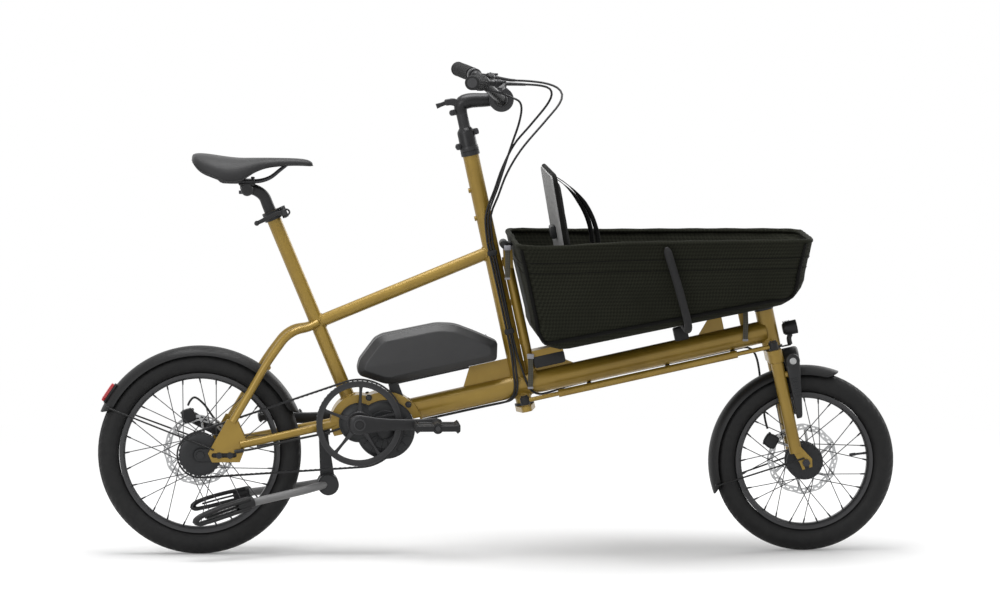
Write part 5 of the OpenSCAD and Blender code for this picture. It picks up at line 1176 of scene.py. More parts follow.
# Seat post: a set-back post bent from one black aluminium tube and clamped in the seat tube.
# Its two-bolt head grips the saddle rails.
HEAD_X, SADDLE_TOP = 107, 895
RAIL_Z = SADDLE_TOP - 60
post_path = smooth_run((on_seat(361), on_seat(450), on_seat(526),
    on_seat(545), at(138, 0, 808.5), at(123, 0, 816.5), at(108, 0, 818)), 40)
post_radii = [0.0135 - 0.0012 * max(0.0, (i - 26) / 13) for i in range(40)]
head_z = RAIL_Z - 17.6
post_head = lathe([(8, -29), (13, -28.4), (13.9, -26), (13.9, 26),
    (13, 28.4), (8, 29)], at(HEAD_X, 0, head_z), TO_LEFT, 40)
cradle_low = box((HEAD_X - 19, -28.4, RAIL_Z - 8), (HEAD_X + 19, 28.4, RAIL_Z - 0.6), 2.4, at)
cradle_top = box((HEAD_X - 17, -28.4, RAIL_Z + 0.6), (HEAD_X + 17, 28.4, RAIL_Z + 5), 2, at)
seat_post = piece("bent_seat_post", *joined(
    tube(post_path, post_radii, 32), post_head, cradle_low, cradle_top), anodised_black, "seat", sharp=45)
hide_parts("seat_post")
rail_bolts = [lathe([(2.9, -17), (2.9, 6), (4.4, 6), (4.4, 9.6), (3.4, 10.4)], at(HEAD_X + x, 0, RAIL_Z),
    Vector((0.06 * x / 13, 0, 1)), 16) for x in (-13, 13)]
rail_nuts = [lathe([(4.6, -28), (5, -24), (5, -20.4)], at(HEAD_X + x, 0, RAIL_Z), Vector((0, 0, 1)), 18)
    for x in (-13, 12)]
piece("seat_post_bolts", *joined(*rail_bolts, *rail_nuts), oxide_steel, "seat")

# Saddle rails: two bent steel rods, black oxide, that rise to sockets under the nose and the tail and are
# gripped by the seat post's head.
rail_path = smooth_run((at(31, 26, 868), at(40, 25, 848), at(50, 24.5, RAIL_Z + 2),
    at(64, 24, RAIL_Z), at(104, 24, RAIL_Z), at(138, 22, RAIL_Z + 1.4),
    at(160, 16, 844), at(182, 10.5, 861), at(200, 8, 875)), 40)
saddle_rails = piece("saddle_rails_bent",
    *joined(tube(rail_path, 0.0035, 14), tube(mirrored(rail_path), 0.0035, 14)), oxide_steel, "seat")
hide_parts("saddle_rails")

# Saddle: a sports shell with thin foam and a sewn synthetic leather cover, wings that drop to the rails
# and a slim nose. It is lofted from its sections; a shallow channel runs along the middle.

# Sewn synthetic leather: charcoal, dull, pebbled about 1.4 mm with a soft sheen on the crown
saddle_leather = mottled("sewn_synthetic_leather", (45, 3.0), "#1D1D1E", "#272728",
    {"Sheen Weight": 0.06, "Specular IOR Level": 0.3}, roughness=(0.48, 0.6),
    pebbles=(1.4, "SMOOTH_F1", 0.25, 0.0003))

# Station ahead of the axle, half width, height of the crown, fall to the edge, thickness
saddle_rows = [
    (-15, 34, 891.5, 10, 7), (-12.5, 46, 896, 17, 12), (-6, 58, 898.4, 29, 16), (6, 70, 899, 40, 17),
    (22, 79, 897.8, 45, 17), (42, 85, 894.8, 50, 16), (62, 86, 891.8, 54, 15), (80, 81, 889.6, 52, 14),
    (94, 73, 888.6, 47, 14), (107, 63, 888.4, 39, 13.5), (121, 52, 888.4, 30, 13), (136, 41, 888.4, 24, 12.5),
    (152, 32, 888.4, 19, 12), (176, 24.5, 888, 16, 11), (204, 20.5, 887.4, 14, 10), (228, 18.6, 886, 13, 9.5),
    (242, 16.8, 883.6, 11.5, 9), (250, 13.4, 880, 9, 7.5), (254.4, 8, 876, 5, 4)]


def saddle_shape(rows, across=22):
    """Upper and lower skins of the saddle, joined along its edge."""
    verts, faces = [], []
    for lower in (0, 1):
        for x, w, top, fall, thick in rows:
            for j in range(across + 1):
                u = 2 * j / across - 1
                y = w * math.sin(u * math.pi / 2)
                dip = 2.6 * math.exp(-(u / 0.16) ** 2) * (1 if 10 < x < 215 else 0.3)
                z = top - fall * abs(u) ** 2.3 - dip
                keep = 1 - abs(u) ** 6
                if lower:
                    z -= thick * (0.22 + 0.78 * keep)
                    y *= 0.93 + 0.04 * keep
                verts.append(at(x, y, z))
    row, skin = across + 1, len(rows) * (across + 1)
    for i in range(len(rows) - 1):
        for j in range(across):
            k = i * row + j
            faces.append((k, k + row, k + row + 1, k + 1))
            faces.append((skin + k, skin + k + 1, skin + k + row + 1, skin + k + row))
        for k in (i * row, i * row + across):
            faces.append((k, skin + k, skin + k + row, k + row))
    for i in (0, len(rows) - 1):
        for j in range(across):
            k = i * row + j
            faces.append((k, k + 1, skin + k + 1, skin + k))
    return verts, faces


saddle = piece("saddle_cover", *saddle_shape(saddle_rows), saddle_leather, "seat", sharp=180)
soften = saddle.modifiers.new("foam_edges", "SUBSURF")
soften.levels = soften.render_levels = 2
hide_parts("saddle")
edge_line = [at(x, -w * 0.985, top - fall * 0.94 - 1.2) for x, w, top, fall, t in saddle_rows]
piece("saddle_edge_seam",
    *joined(tube(smooth_run(edge_line, 60), 0.0009, 8),
    tube(smooth_run(mirrored(edge_line), 60), 0.0009, 8)), saddle_leather, "seat")


def band(path, across, half_w, half_t, sides=12):
    """A flat bar or strap along a path: width along across, one value or one per point, edges rounded."""
    n = len(path)
    wide = half_w if hasattr(half_w, "__len__") else [half_w] * n
    thick = half_t if hasattr(half_t, "__len__") else [half_t] * n
    verts, faces = [], []
    for i, p in enumerate(path):
        t = (path[min(i + 1, n - 1)] - path[max(i - 1, 0)]).normalized()
        w = (across - t * across.dot(t)).normalized()
        v = t.cross(w)
        for j in range(sides):
            a = 2 * math.pi * (j + 0.5) / sides
            c, s = math.cos(a), math.sin(a)
            verts.append(p + w * math.copysign(abs(c) ** 0.4, c) * wide[i]
                + v * math.copysign(abs(s) ** 0.5, s) * thick[i])
    for i in range(n - 1):
        for j in range(sides):
            k = (j + 1) % sides
            faces.append((i * sides + j, i * sides + k, (i + 1) * sides + k, (i + 1) * sides + j))
    faces += [tuple(range(sides))[::-1], tuple(range((n - 1) * sides, n * sides))]
    return verts, faces


# Seat lever: a slim cast lever with a knob and an open eye, anodised black.
# It hugs the collar of the seat tube and swings out about a pin.
ALONG_SEAT = (on_seat(10) - on_seat(0)).normalized()
lever_pivot = on_seat(501) + Vector((26, -24, 8)) / 1000
lever_path = smooth_run([lever_pivot + Vector(v) / 1000 for v in (
    (0, 0, 0), (-14, -5.4, -2), (-32, -9, -9), (-48, -10, -17.4), (-61, -10.4, -23.4))], 24)
eye_ring = [lever_pivot + (FORWARD * 7000 * math.cos(a) + ALONG_SEAT * 6.6 * math.sin(a)
    + Vector((5, -1, 1))) / 1000 for a in [2 * math.pi * i / 28 for i in range(28)]]
lever_half = [0.0042 + 0.0008 * math.sin(i / 23 * math.pi) for i in range(24)]
lever_knob = lathe([(0.4, -6), (3.4, -5.4), (5.4, -3), (5.9, 0),
    (5.4, 3), (3.4, 5.4), (0.4, 6)], lever_path[-1], TO_LEFT, 24)
lever_boss = lathe([(3.1, -6.9), (6.2, -6.9), (7, -6), (7, 6),
    (6.2, 6.9), (3.1, 6.9)], lever_pivot, ALONG_SEAT, 28, closed=True)
seat_lever = piece("seat_quick_lever", *joined(band(lever_path, ALONG_SEAT, lever_half, 0.0028), lever_knob,
    tube(eye_ring, 0.0021, 10, closed=True), lever_boss), anodised_black, "seat_lever")
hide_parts("seat_clamp_lever")

# Steering column: the arm at the foot and the tie rod are gold like the frame. The stem above the head tube
# is a black clamp sleeve, a slim column and a forged elbow that holds the bar, with a folding lever behind.
dress(gold_coat, "steerer", "tie_rod")
tie_nuts = []
for s in (HEAD_RUN, FORK_RUN):
    tie_nuts.append(lathe([(4, -22.2), (8.2, -22.2), (8.2, -19), (6, -17.6)], on_boom(s, -55, 0), UP, 6))
    tie_nuts.append(lathe([(10.3, -40), (10.7, -38), (10.7, -24.6), (10.3, -22.6)],
        on_boom(s, -55, 0), UP, 28))
piece("tie_rod_boots", *joined(*tie_nuts), black_nylon, "tie_rod")

sleeve = lathe([(15.2, 539.6), (20.4, 539.6), (21, 541), (21, 549), (19.6, 551),
    (19.4, 581), (18.6, 585), (15, 590), (13.2, 592)], on_boom(HEAD_RUN, 0, 0), UP, 48)
column = lathe([(12.8, 586), (12.6, 600), (12.6, 646)], on_boom(HEAD_RUN, 0, 0), UP, 40)
ears = [box((HEAD_RUN - 29, -8, 546), (HEAD_RUN - 14, 8, 560), 2.4, on_boom),
    box((HEAD_RUN + 13, -8, 572), (HEAD_RUN + 29, 8, 586), 2.4, on_boom),
    box((HEAD_RUN - 27, -7, 624), (HEAD_RUN - 8, 7, 637), 3, on_boom)]
elbow = smooth_run((on_boom(HEAD_RUN, 0, 622), on_boom(HEAD_RUN, 0, 636), on_boom(HEAD_RUN + 5, 0, 646),
    on_boom(HEAD_RUN + 20, 0, 649), on_boom(HEAD_RUN + 58, 0, 643), on_boom(HEAD_RUN + 92, 0, 638)), 30)
elbow_radii = [0.0126 + 0.0044 * min(1.0, i / 8) - 0.003 * max(0.0, (i - 10) / 19) for i in range(30)]
bar_c = on_boom(HEAD_RUN + 92, 0, 638)
clamp = lathe([(16.1, -25), (20.6, -25), (21.8, -23), (21.8, 23),
    (20.6, 25), (16.1, 25)], bar_c, TO_LEFT, 48, closed=True)
lever_ears = [slab(rounded([(341, 649), (352, 649), (376, 636), (384, 650), (362, 662), (341, 663)], 5, 4),
    ((side * 8 - 2, 0.5), (side * 8 - 1.5, 0), (side * 8 + 1.5, 0), (side * 8 + 2, 0.5)), on_boom)
    for side in (-1, 1)]
stem = piece("forged_stem",
    *joined(sleeve, column, *ears, tube(elbow, elbow_radii, 28), clamp, *lever_ears),
    anodised_black, "steering", sharp=42)
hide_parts("stem")
ear_bolts = [lathe([(4.4, -11), (5, -10), (5, 10), (4.4, 11)], on_boom(s, 0, h), TO_LEFT, 20)
    for s, h in ((HEAD_RUN - 25, 553), (HEAD_RUN + 24, 579), (HEAD_RUN - 22, 630))]
bar_bolts = [bolt(bar_c + FORWARD * 19 + Vector((0, y, 0.008 * k)), FORWARD, 3.6, 4.6)
    for y in (-0.017, 0.017) for k in (-1, 1)]
FOLD_S, FOLD_H = 348, 656
fold_pivot = on_boom(FOLD_S, 0, FOLD_H)
fold_pin = lathe([(3, -9.8), (3, 9.8)], fold_pivot, TO_LEFT, 16)
piece("stem_bolts", *joined(*ear_bolts, *bar_bolts, fold_pin), oxide_steel, "steering")
fold = [on_boom(FOLD_S + u, 0, FOLD_H + v)
    for u, v in ((4, 0), (-4, -0.6), (-14, -2), (-22, -3), (-27, -3.6))]
fold_half = [0.0058 - 0.0012 * math.sin(i / 15 * math.pi) for i in range(16)]
fold_eye = lathe([(3.2, -4.9), (5.6, -4.9), (6.3, -4), (6.3, 4),
    (5.6, 4.9), (3.2, 4.9)], fold_pivot, TO_LEFT, 24, closed=True)
stem_lever = piece("stem_fold_lever",
    *joined(band(smooth_run(fold, 16), TO_LEFT, 0.0048, fold_half), fold_eye), anodised_black, "stem_lever")
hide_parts("stem_lever")

# Handlebar: a swept aluminium riser bar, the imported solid, with rubber grips clamped on its ends.
# The right grip gives up 42 mm to the twist shifter.
dress(anodised_black, "handlebar")
KNEE, BAR_END = bar_c + Vector((-47, 150, 44)) / 1000, bar_c + Vector((-80, 310, 52)) / 1000
ALONG_BAR = (BAR_END - KNEE).normalized()


def on_grip(d, side):
    """Millimetres out along the bar from the knee, on the left for 1 and on the right for -1."""
    p = KNEE + ALONG_BAR * d / 1000
    return Vector((p.x, side * p.y, p.z))


# Moulded grip rubber: soft black, matt, a fine pebbled skin that catches dust
grip_rubber = mottled("moulded_grip_rubber", (14, 3.0), "#181819", "#252526",
    {"Specular IOR Level": 0.25}, roughness=(0.58, 0.74), relief=(1, 3.0, 0.3, 0.0003))


def grip_profile(start, stop, r):
    """A sleeve with a collar at its inner end, shallow rings, and a flange and cap at the outer end."""
    out = [(11.3, start), (r, start), (r, start + 6), (r - 1.6, start + 7.4)]
    d = start + 9
    while d < stop - 16:
        swell = 0.8 * math.sin(math.pi * (d - start) / (stop - start))
        out += [(r - 1.8 + swell, d), (r - 0.6 + swell, d + 0.8),
            (r - 0.6 + swell, d + 2.8), (r - 1.8 + swell, d + 3.6)]
        d += 5.2
    return out + [(r - 1.6, stop - 9), (r, stop - 7.6),
        (r + 0.2, stop - 2), (r - 2, stop + 0.2), (4, stop + 0.4)]


grips = []
for side, start in ((1, 32.1), (-1, 74.5)):
    d = ALONG_BAR if side > 0 else Vector((ALONG_BAR.x, -ALONG_BAR.y, ALONG_BAR.z))
    grips.append(lathe(grip_profile(start, 163, 16.4), on_grip(0, side), d, 40))
grip_pair = piece("rubber_grips", *joined(*grips), grip_rubber, "steering", sharp=40)
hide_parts("grips")
RIGHT_BAR = Vector((ALONG_BAR.x, -ALONG_BAR.y, ALONG_BAR.z))


def flutes(a, k):
    """Eighteen shallow flutes round the middle of the twist shifter."""
    return 0.7 * math.cos(18 * a) if k in (5, 6) else 0.0


twist = lathe([(11.3, 32.2), (18.2, 32.2), (18.4, 33), (18.4, 43), (17, 44.6), (16.8, 46),
    (17.6, 72), (16.6, 73.8), (11.3, 73.8)], on_grip(0, -1), RIGHT_BAR, 72, ripple=flutes)
shift_grip = piece("twist_shifter", *twist, grip_rubber, "shift_grip", sharp=40)
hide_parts("shift_grip")

# Brake controls: a hinged clamp, a short cylinder with its reservoir cap and a hose nut on each side;
# a small display lies above the stem between two rubber-lined clamps, and each hose leaves in a stiff boot.
LEVER_EYE = on_grip(14.06, 1) + Vector((46, 0, -6)) / 1000
control_parts, cap_bolts = [], []
for side in (-1, 1):
    ring, bar_dir = on_grip(14.06, side), ALONG_BAR if side > 0 else RIGHT_BAR
    pivot = Vector((LEVER_EYE.x, side * LEVER_EYE.y, LEVER_EYE.z))
    control_parts.append(lathe([(11.3, -7.8), (15, -7.8), (16, -6.6), (16, 6.6), (15, 7.8), (11.3, 7.8)],
        ring, bar_dir, 40, closed=True))
    start, end = pivot + Vector((-12, side * 5, 2)) / 1000, pivot + Vector((-8, -side * 53, 4)) / 1000
    axis = end - start
    long = axis.length * 1000
    control_parts.append(
        lathe([(4, 0), (7.4, 0.4), (8.9, 3), (8.9, long - 22), (7.8, long - 18), (6.4, long - 9),
        (4.6, long - 6), (4.6, long + 2), (3, long + 4)], start, axis, 32))
    neck = smooth_run([ring + Vector((12, 0, -1)) / 1000,
        ring + Vector((22, -side * 2, -2)) / 1000, pivot + Vector((-13, 0, 2)) / 1000], 10)
    control_parts.append(band(neck, TO_LEFT, 0.0062, 0.0058))
    mid = start.lerp(end, 0.36)

    def on_cylinder(x, y, z, mid=mid):
        """Millimetres left of, ahead of and above the middle of the reservoir."""
        return mid + Vector((y, x, z)) / 1000

    def on_pivot(u, h, v, pivot=pivot):
        """Millimetres ahead of, above and left of the lever's pivot."""
        return pivot + Vector((u, v, h)) / 1000

    control_parts.append(box((-13, -7.4, 4), (13, 7.4, 9.2), 1.6, on_cylinder))
    control_parts.append(slab(rounded([(-19, -7.6), (5, -7.6), (8, 0), (5, 7.6), (-19, 7.6)], 3, 3),
        ((5.5, 0.6), (6.1, 0), (9.6, 0), (10.3, 0.8)), on_pivot))
    for x in (-9.5, 9.5):
        cap_bolts.append(bolt(mid + Vector((0, x, 9)) / 1000, Vector((0, 0, 1)), 1.9, 1.2))
    cap_bolts.append(lathe([(2.9, -6.9), (2.9, 6.9)], pivot, Vector((0, 0, 1)), 16))
    cap_bolts.append(bolt(ring + Vector((13.6, 0, -4.6)) / 1000, Vector((0.4, 0, -1)), 2.4, 4))


def display_put(x, y, z):
    """Millimetres ahead of, left of and above the middle of the bar clamp."""
    return bar_c + Vector((x, y, z)) / 1000


control_parts.append(box((-27.6, -27.6, 22.7), (11.6, 27.6, 33.8), 3, display_put))
for y in (-35.8, 28.2):
    control_parts.append(lathe([(16.2, 0), (26.8, 0), (27.6, 0.8), (27.6, 6.8), (26.8, 7.6), (16.2, 7.6)],
        bar_c + Vector((0, y, 0)) / 1000, TO_LEFT, 44, closed=True))
for boot in (
        (at(662, 150, 1059), at(676, 150, 1057), at(704, 152, 1052), at(716, 153.6, 1051.2)),
        (at(662, -148, 1059), at(676, -148, 1059), at(711, -150, 1058), at(722, -150.8, 1057.6)),
        (at(624, -190, 1052), at(632, -182, 1048.6), at(640, -178, 1046), at(654, -176, 1043))):
    control_parts.append(tube(smooth_run(boot, 16), [0.0046 - 0.0014 * i / 15 for i in range(16)], 14))
controls = piece("brake_controls", *joined(*control_parts), anodised_black, "steering", sharp=42)
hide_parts("controls")
piece("control_bolts", *joined(*cap_bolts), oxide_steel, "steering")

# Display glass: a dark glossy window, unlit, with a faint coating tint
window_glass = mottled("coated_display_window", (50, 1.0), "#0E1013", "#171A1F", {"Roughness": 0.06})
piece("display_window", *box((-24, -23, 33), (8, 23, 34.2), 0.5, display_put), window_glass, "steering")

# Brake levers: forged two-finger blades, bowed forward and hooked at the tip, anodised like the controls.
# Each swings on a pin in its clamp.
for name, side, body in (("left", 1, "brake_lever_left"), ("right", -1, "brake_lever_right")):
    pivot = Vector((LEVER_EYE.x, side * LEVER_EYE.y, LEVER_EYE.z))
    blade = smooth_run(
        [pivot + Vector((x, side * y, z)) / 1000 for x, y, z in ((0, 2, 0), (1, 16, -0.4), (-2, 40, -1.6),
        (-8, 66, -3), (-12.4, 88, -3.8), (-12.6, 100, -4), (-9.6, 107, -4))], 30)
    half = [0.0062 - 0.0016 * i / 29 for i in range(30)]
    lever = piece("brake_lever_blade_" + name,
        *joined(band(blade, Vector((0, 0, 1)), half, [0.0034 - 0.0006 * i / 29 for i in range(30)]),
        lathe([(3.2, -4.4), (7.2, -4.4), (7.9, -3.6), (7.9, 3.6), (7.2, 4.4), (3.2, 4.4)], pivot,
        Vector((0, 0, 1)), 28, closed=True)), anodised_black, body)
    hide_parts("brake_lever_" + name)

# Stand: a cast yoke below the crank swings two grey tube legs. Each leg ends in a black moulded foot, a thick
# hairpin loop with a spine inside it, so that the bicycle rests on plastic.
stand_pivot, stand_barrel = at(278, 0, 256), at(287, 0, 156)
yoke_down = (stand_barrel - stand_pivot).normalized()
yoke_side = yoke_down.cross(TO_LEFT)
yoke_run = (stand_barrel - stand_pivot).length * 1000


def on_yoke(u, y, v):
    """Millimetres down the yoke from its pin, across to the left and back."""
    return stand_pivot + (yoke_down * u + TO_LEFT * y + yoke_side * v) / 1000


yoke_plate = slab(
    rounded([(-10, -10), (yoke_run + 18, -18), (yoke_run + 18, 18), (-10, 10)], [10, 18, 18, 10], 6),
    ((-12.8, 1.6), (-11.2, 0), (11.2, 0), (12.8, 1.6)), on_yoke)
yoke_barrel = lathe([(9, -34), (21.6, -34), (23.8, -31.6), (23.8, -19), (22.2, -17),
    (22.2, 17), (23.8, 19), (23.8, 31.6), (21.6, 34), (9, 34)], stand_barrel, TO_LEFT, 44)
yoke = piece("stand_yoke", *joined(yoke_plate, yoke_barrel), cast_black, "stand", sharp=42)
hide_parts("stand_legs")
piece("stand_pin", *lathe([(3, -15.4), (6.4, -15), (6.4, 15), (3, 15.4)],
    stand_pivot, TO_LEFT, 24), oxide_steel, "stand")

# Silver-grey powder coat: mid grey, satin, with a slight orange peel 2 mm across
leg_grey = mottled("grey_powder_coat", (60, 4.0), "#6A6A6B", "#7C7C7C",
    {}, roughness=(0.38, 0.52), relief=(2, 2.0, 0.1, 0.0003))
leg_tubes, foot_parts = [], []
for side in (-1, 1):
    leg_end, toe = at(104, side * 118, 124), at(-6, side * 164, 92)
    leg_path = smooth_run((
        stand_barrel + Vector((-2, side * 18, 1)) / 1000, stand_barrel + Vector((-10, side * 29, 0)) / 1000,
        stand_barrel.lerp(leg_end, 0.32) + Vector((0, side * 18, 0)) / 1000,
        stand_barrel.lerp(leg_end, 0.66) + Vector((0, side * 9, 0)) / 1000, leg_end), 30)
    leg_tubes.append(tube(leg_path, 0.009, 24))
    foot_along = (toe - leg_end).normalized()
    foot_across = foot_along.cross(Vector((0, 0, 1))).normalized()
    foot_up = foot_across.cross(foot_along)

    def on_foot(u, w, v):
        """Millimetres along the foot from the end of its leg, across it and up."""
        return leg_end + (foot_along * u + foot_across * w + foot_up * v) / 1000

    loop = smooth_run(
        [on_foot(u, 0, v) for u, v in ((-6, 9.4), (20, 10), (60, 10.6), (100, 8.6), (122, 5), (131.4, -1),
        (127, -7.4), (106, -9.6), (66, -10), (24, -9.8), (-2, -9.2))], 60)
    loop_half = [0.0125 - 0.0022 * math.sin(i / 59 * math.pi) ** 4 for i in range(60)]
    foot_parts.append(band(loop, foot_across, loop_half, 0.0046))
    spine = smooth_run([on_foot(u, 0, v) for u, v in ((8, 0), (50, 0.4), (104, -0.6))], 20)
    foot_parts.append(band(spine, foot_across, 0.0096, 0.0022))
    foot_parts.append(lathe([(9.2, -14), (12, -14), (12.7, -12), (12.7, 16), (11, 24), (9.2, 26)],
        leg_end, foot_along, 32, closed=True))
stand_legs = piece("stand_leg_tubes", *joined(*leg_tubes), leg_grey, "stand")
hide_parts("stand_legs")
stand_feet = piece("stand_loop_feet", *joined(*foot_parts), black_nylon, "stand", sharp=45)
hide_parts("stand_feet")

# Basket: a sewn tub of woven polyester, lofted ring by ring from the rim to its sloping floor, with a hem
# below the rim. The long sides belly a little, and the near rim dips behind where the loading strap pulls it.
RIM_Z, FABRIC_T, HEM = 703, 3, 38
CORNER_STEPS, SIDE_STEPS, END_STEPS = 7, 26, 12


def tub_ring(rear_x, front_x, rear_half, front_half, rear_r, front_r):
    """Points round a rounded trapezium in plan, always as many, each with its share of a side's belly."""
    corners = [(rear_x, -rear_half, rear_r), (front_x, -front_half, front_r),
        (front_x, front_half, front_r), (rear_x, rear_half, rear_r)]
    out = []
    for i, (x, y, r) in enumerate(corners):
        p, before, after = Vector((x, y)), Vector(corners[i - 1][:2]), Vector(corners[(i + 1) % 4][:2])
        start, stop = p + (before - p).normalized() * r, p + (after - p).normalized() * r
        for k in range(CORNER_STEPS + 1):
            t = k / CORNER_STEPS
            out.append(((1 - t) ** 2 * start + 2 * t * (1 - t) * p + t * t * stop, 0.0))
        arrive = after + (p - after).normalized() * corners[(i + 1) % 4][2]
        steps = SIDE_STEPS if i % 2 == 0 else END_STEPS
        for k in range(1, steps):
            out.append((stop.lerp(arrive, k / steps),
                math.sin(math.pi * k / steps) * (1.0 if i % 2 == 0 else 0.4)))
    return out


def rim_dip(x, y):
    """How far the near rim hangs down, in millimetres."""
    return 7.5 * math.exp(-((x - 770) / 110) ** 2) if y < 0 else 2.5 * math.exp(-((x - 900) / 200) ** 2)


def floor_z(x):
    """Height of the sloping floor."""
    return 463 + 91.2 * (x - 778) / 507


def round_r(x):
    """Height of the round between the wall and the floor, a little more at the rear."""
    return 80 - 12 * (x - 778) / 507


def wall_ring(drop, share, grow):
    """A ring of the tub's wall: millimetres below the rim, then a share of the way to the floor's round."""
    rim = tub_ring(700 - grow, 1362 + grow, 250 + grow, 175 + grow, 50, 60)
    foot = tub_ring(738 - grow, 1353 + grow, 200 + grow, 130 + grow, 40, 68)
    out = []
    for (p, belly), (q, _) in zip(rim, foot):
        depth = RIM_Z - floor_z(q.x) - round_r(q.x)
        t = (drop + share * (depth - drop)) / depth
        spot = p.lerp(q, t)
        y = spot.y + math.copysign(9 * belly * math.sin(math.pi * t ** 1.8), spot.y)
        out.append(at(spot.x, y, RIM_Z - t * depth - rim_dip(p.x, p.y) * (1 - t) ** 2))
    return out


def floor_ring(turn, shrink, grow):
    """A ring of the round below the wall, or of the floor once the turn is complete."""
    c, s = math.cos(turn), math.sin(turn)
    outline = tub_ring(738 + 80 * (1 - c) - grow * c, 1353 - 68 * (1 - c) + grow * c,
        200 - 40 * (1 - c) + grow * c, 130 - 68 * (1 - c) + grow * c, max(1, 40 * c), max(1, 68 * c))
    middle = Vector((1030, 0))
    out = []
    for p, belly in outline:
        q = middle + (p - middle) * shrink
        out.append(at(q.x, q.y, floor_z(q.x) + round_r(q.x) * (1 - s) - grow * s))
    return out


def tub_skin(grow, hem):
    """All rings of one skin of the tub; the hem stands out from the rest of the wall."""
    rings = [wall_ring(drop, 0, grow + hem) for drop in (0, 8, 20, 34, HEM - 1)] + [wall_ring(HEM, 0, grow)]
    rings += [wall_ring(HEM, share, grow) for share in (0.12, 0.26, 0.4, 0.55, 0.7, 0.85, 1.0)]
    rings += [floor_ring(math.pi / 2 * k / 6, 1, grow) for k in range(1, 7)]
    return rings + [floor_ring(math.pi / 2, f, grow) for f in (0.8, 0.6, 0.4, 0.2)]


def lofted_tub():
    """The outer and inner skins, joined over the rim."""
    outer, inner = tub_skin(0, 1.3), tub_skin(-FABRIC_T, 0)
    n, count = len(outer[0]), len(outer)
    verts = [v for ring in outer + inner for v in ring]
    faces = []
    for base in (0, count * n):
        for i in range(count - 1):
            for j in range(n):
                a, b = base + i * n + j, base + i * n + (j + 1) % n
                faces.append((a, b, b + n, a + n))
        faces.append(tuple(range(base + (count - 1) * n, base + count * n)))
    for j in range(n):
        k = (j + 1) % n
        faces.append((j, k, count * n + k, count * n + j))
    return verts, faces


def weave(name, dark, light, pitch):
    """A plain weave in the object's own coordinates, seen alike on the long and the short sides."""
    material, tree, shader, place = surface(name)
    split = add(tree, "SeparateXYZ", {"Vector": place})
    along = add(tree, "Math", {0: split.outputs["X"], 1: split.outputs["Y"]}, operation="ADD")
    cloth = add(tree, "CombineXYZ", {"X": along.outputs[0], "Y": split.outputs["Z"]})
    warp = add(tree, "TexWave",
        {"Vector": cloth.outputs[0], "Scale": per_mm(pitch) / 20 * math.pi,
        "Distortion": 0.4}, bands_direction="X")
    weft = add(tree, "TexWave",
        {"Vector": cloth.outputs[0], "Scale": per_mm(pitch) / 20 * math.pi,
        "Distortion": 0.4}, bands_direction="Y")
    over = add(tree, "TexChecker", {"Vector": cloth.outputs[0], "Scale": per_mm(pitch)})
    height = add(tree, "Mix", {0: over.outputs["Fac"], 2: warp.outputs["Fac"], 3: weft.outputs["Fac"]})
    wear_and_edge_highlight = add(tree, "TexNoise", {"Vector": place, "Scale": per_mm(120), "Detail": 4.0})
    tone = add(tree, "Math", {0: height.outputs[0], 1: wear_and_edge_highlight.outputs["Fac"]}, operation="MULTIPLY")
    shade = add(tree, "ValToRGB", {"Fac": tone.outputs[0]})
    shade.color_ramp.elements[0].color = srgb(dark)
    shade.color_ramp.elements[1].color = srgb(light)
    shade.color_ramp.elements[1].position = 0.6
    thread = add(tree, "Bump", {"Height": height.outputs[0], "Strength": 0.35, "Distance": 0.0008})
    tree.links.new(shade.outputs[0], shader.inputs["Base Color"])
    tree.links.new(thread.outputs[0], shader.inputs["Normal"])
    shader.inputs["Roughness"].default_value = 0.78
    shader.inputs["Specular IOR Level"].default_value = 0.1
    return material


# Woven coated polyester: near-black olive, threads over and under about 3 mm apart, drawn at 4 mm so that
# they show
tub_weave = weave("woven_coated_polyester", "#15160F", "#2A2B23", 4)
basket = piece("basket_tub", *lofted_tub(), tub_weave, "frame", sharp=60)
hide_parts("basket")

# Edge binding: the fabric rolls over a cord at the rim, and a dense black tape is sewn along the seams of the
# side panels. Two rows of stitches hold the hem.

# Folded edge tape: a dense weave, darker and finer than the tub's own cloth
tape_black = weave("folded_edge_tape", "#0D0D0C", "#1B1B1A", 2)
rim_line = [p + Vector((0, 0, 0.0044)) for p in wall_ring(0, 0, -FABRIC_T / 2)]
rim_radii = [0.0058 + 0.0005 * math.sin(i * 1.7) for i in range(len(rim_line))]
rim_roll = piece("rim_binding", *tube(rim_line, rim_radii, 16, closed=True), tub_weave, "frame")
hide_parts("basket_rim")
CORNER_MID = CORNER_STEPS // 2
RIGHT_FRONT = CORNER_STEPS + SIDE_STEPS + CORNER_MID
LEFT_FRONT = RIGHT_FRONT + CORNER_STEPS + END_STEPS
LEFT_REAR = LEFT_FRONT + CORNER_STEPS + SIDE_STEPS
side_seams = []
for first, last in ((CORNER_MID, RIGHT_FRONT), (LEFT_FRONT, LEFT_REAR)):
    corner = [wall_ring(0, t, 1.5) for t in (0.02, 0.2, 0.4, 0.6, 0.8, 0.95)] + [
        floor_ring(math.pi / 2 * f, 1, 1.5) for f in (0.25, 0.5)]
    bottom = floor_ring(math.pi / 4, 1, 1.5)[first + 2:last - 1]
    run = [ring[first] for ring in corner] + bottom[::3] + [ring[last] for ring in reversed(corner)]
    side_seams.append(tube(smooth_run(run, 150), 0.0042, 10))
piece("side_panel_binding", *joined(*side_seams), tape_black, "frame")
stitch_row = [wall_ring(HEM - 5, 0, 1.8), wall_ring(HEM + 20, 0, 0.5)]
piece("hem_stitching", *joined(*[tube(ring, 0.0008, 6, closed=True) for ring in stitch_row]),
    tape_black, "frame")

# Hoop: a bent steel bar under the basket in a sleeve of dark grey foam rubber, with rounded ends at the rim.
# It keeps the sides apart; a nylon hook holds the rear rim to the head tube.

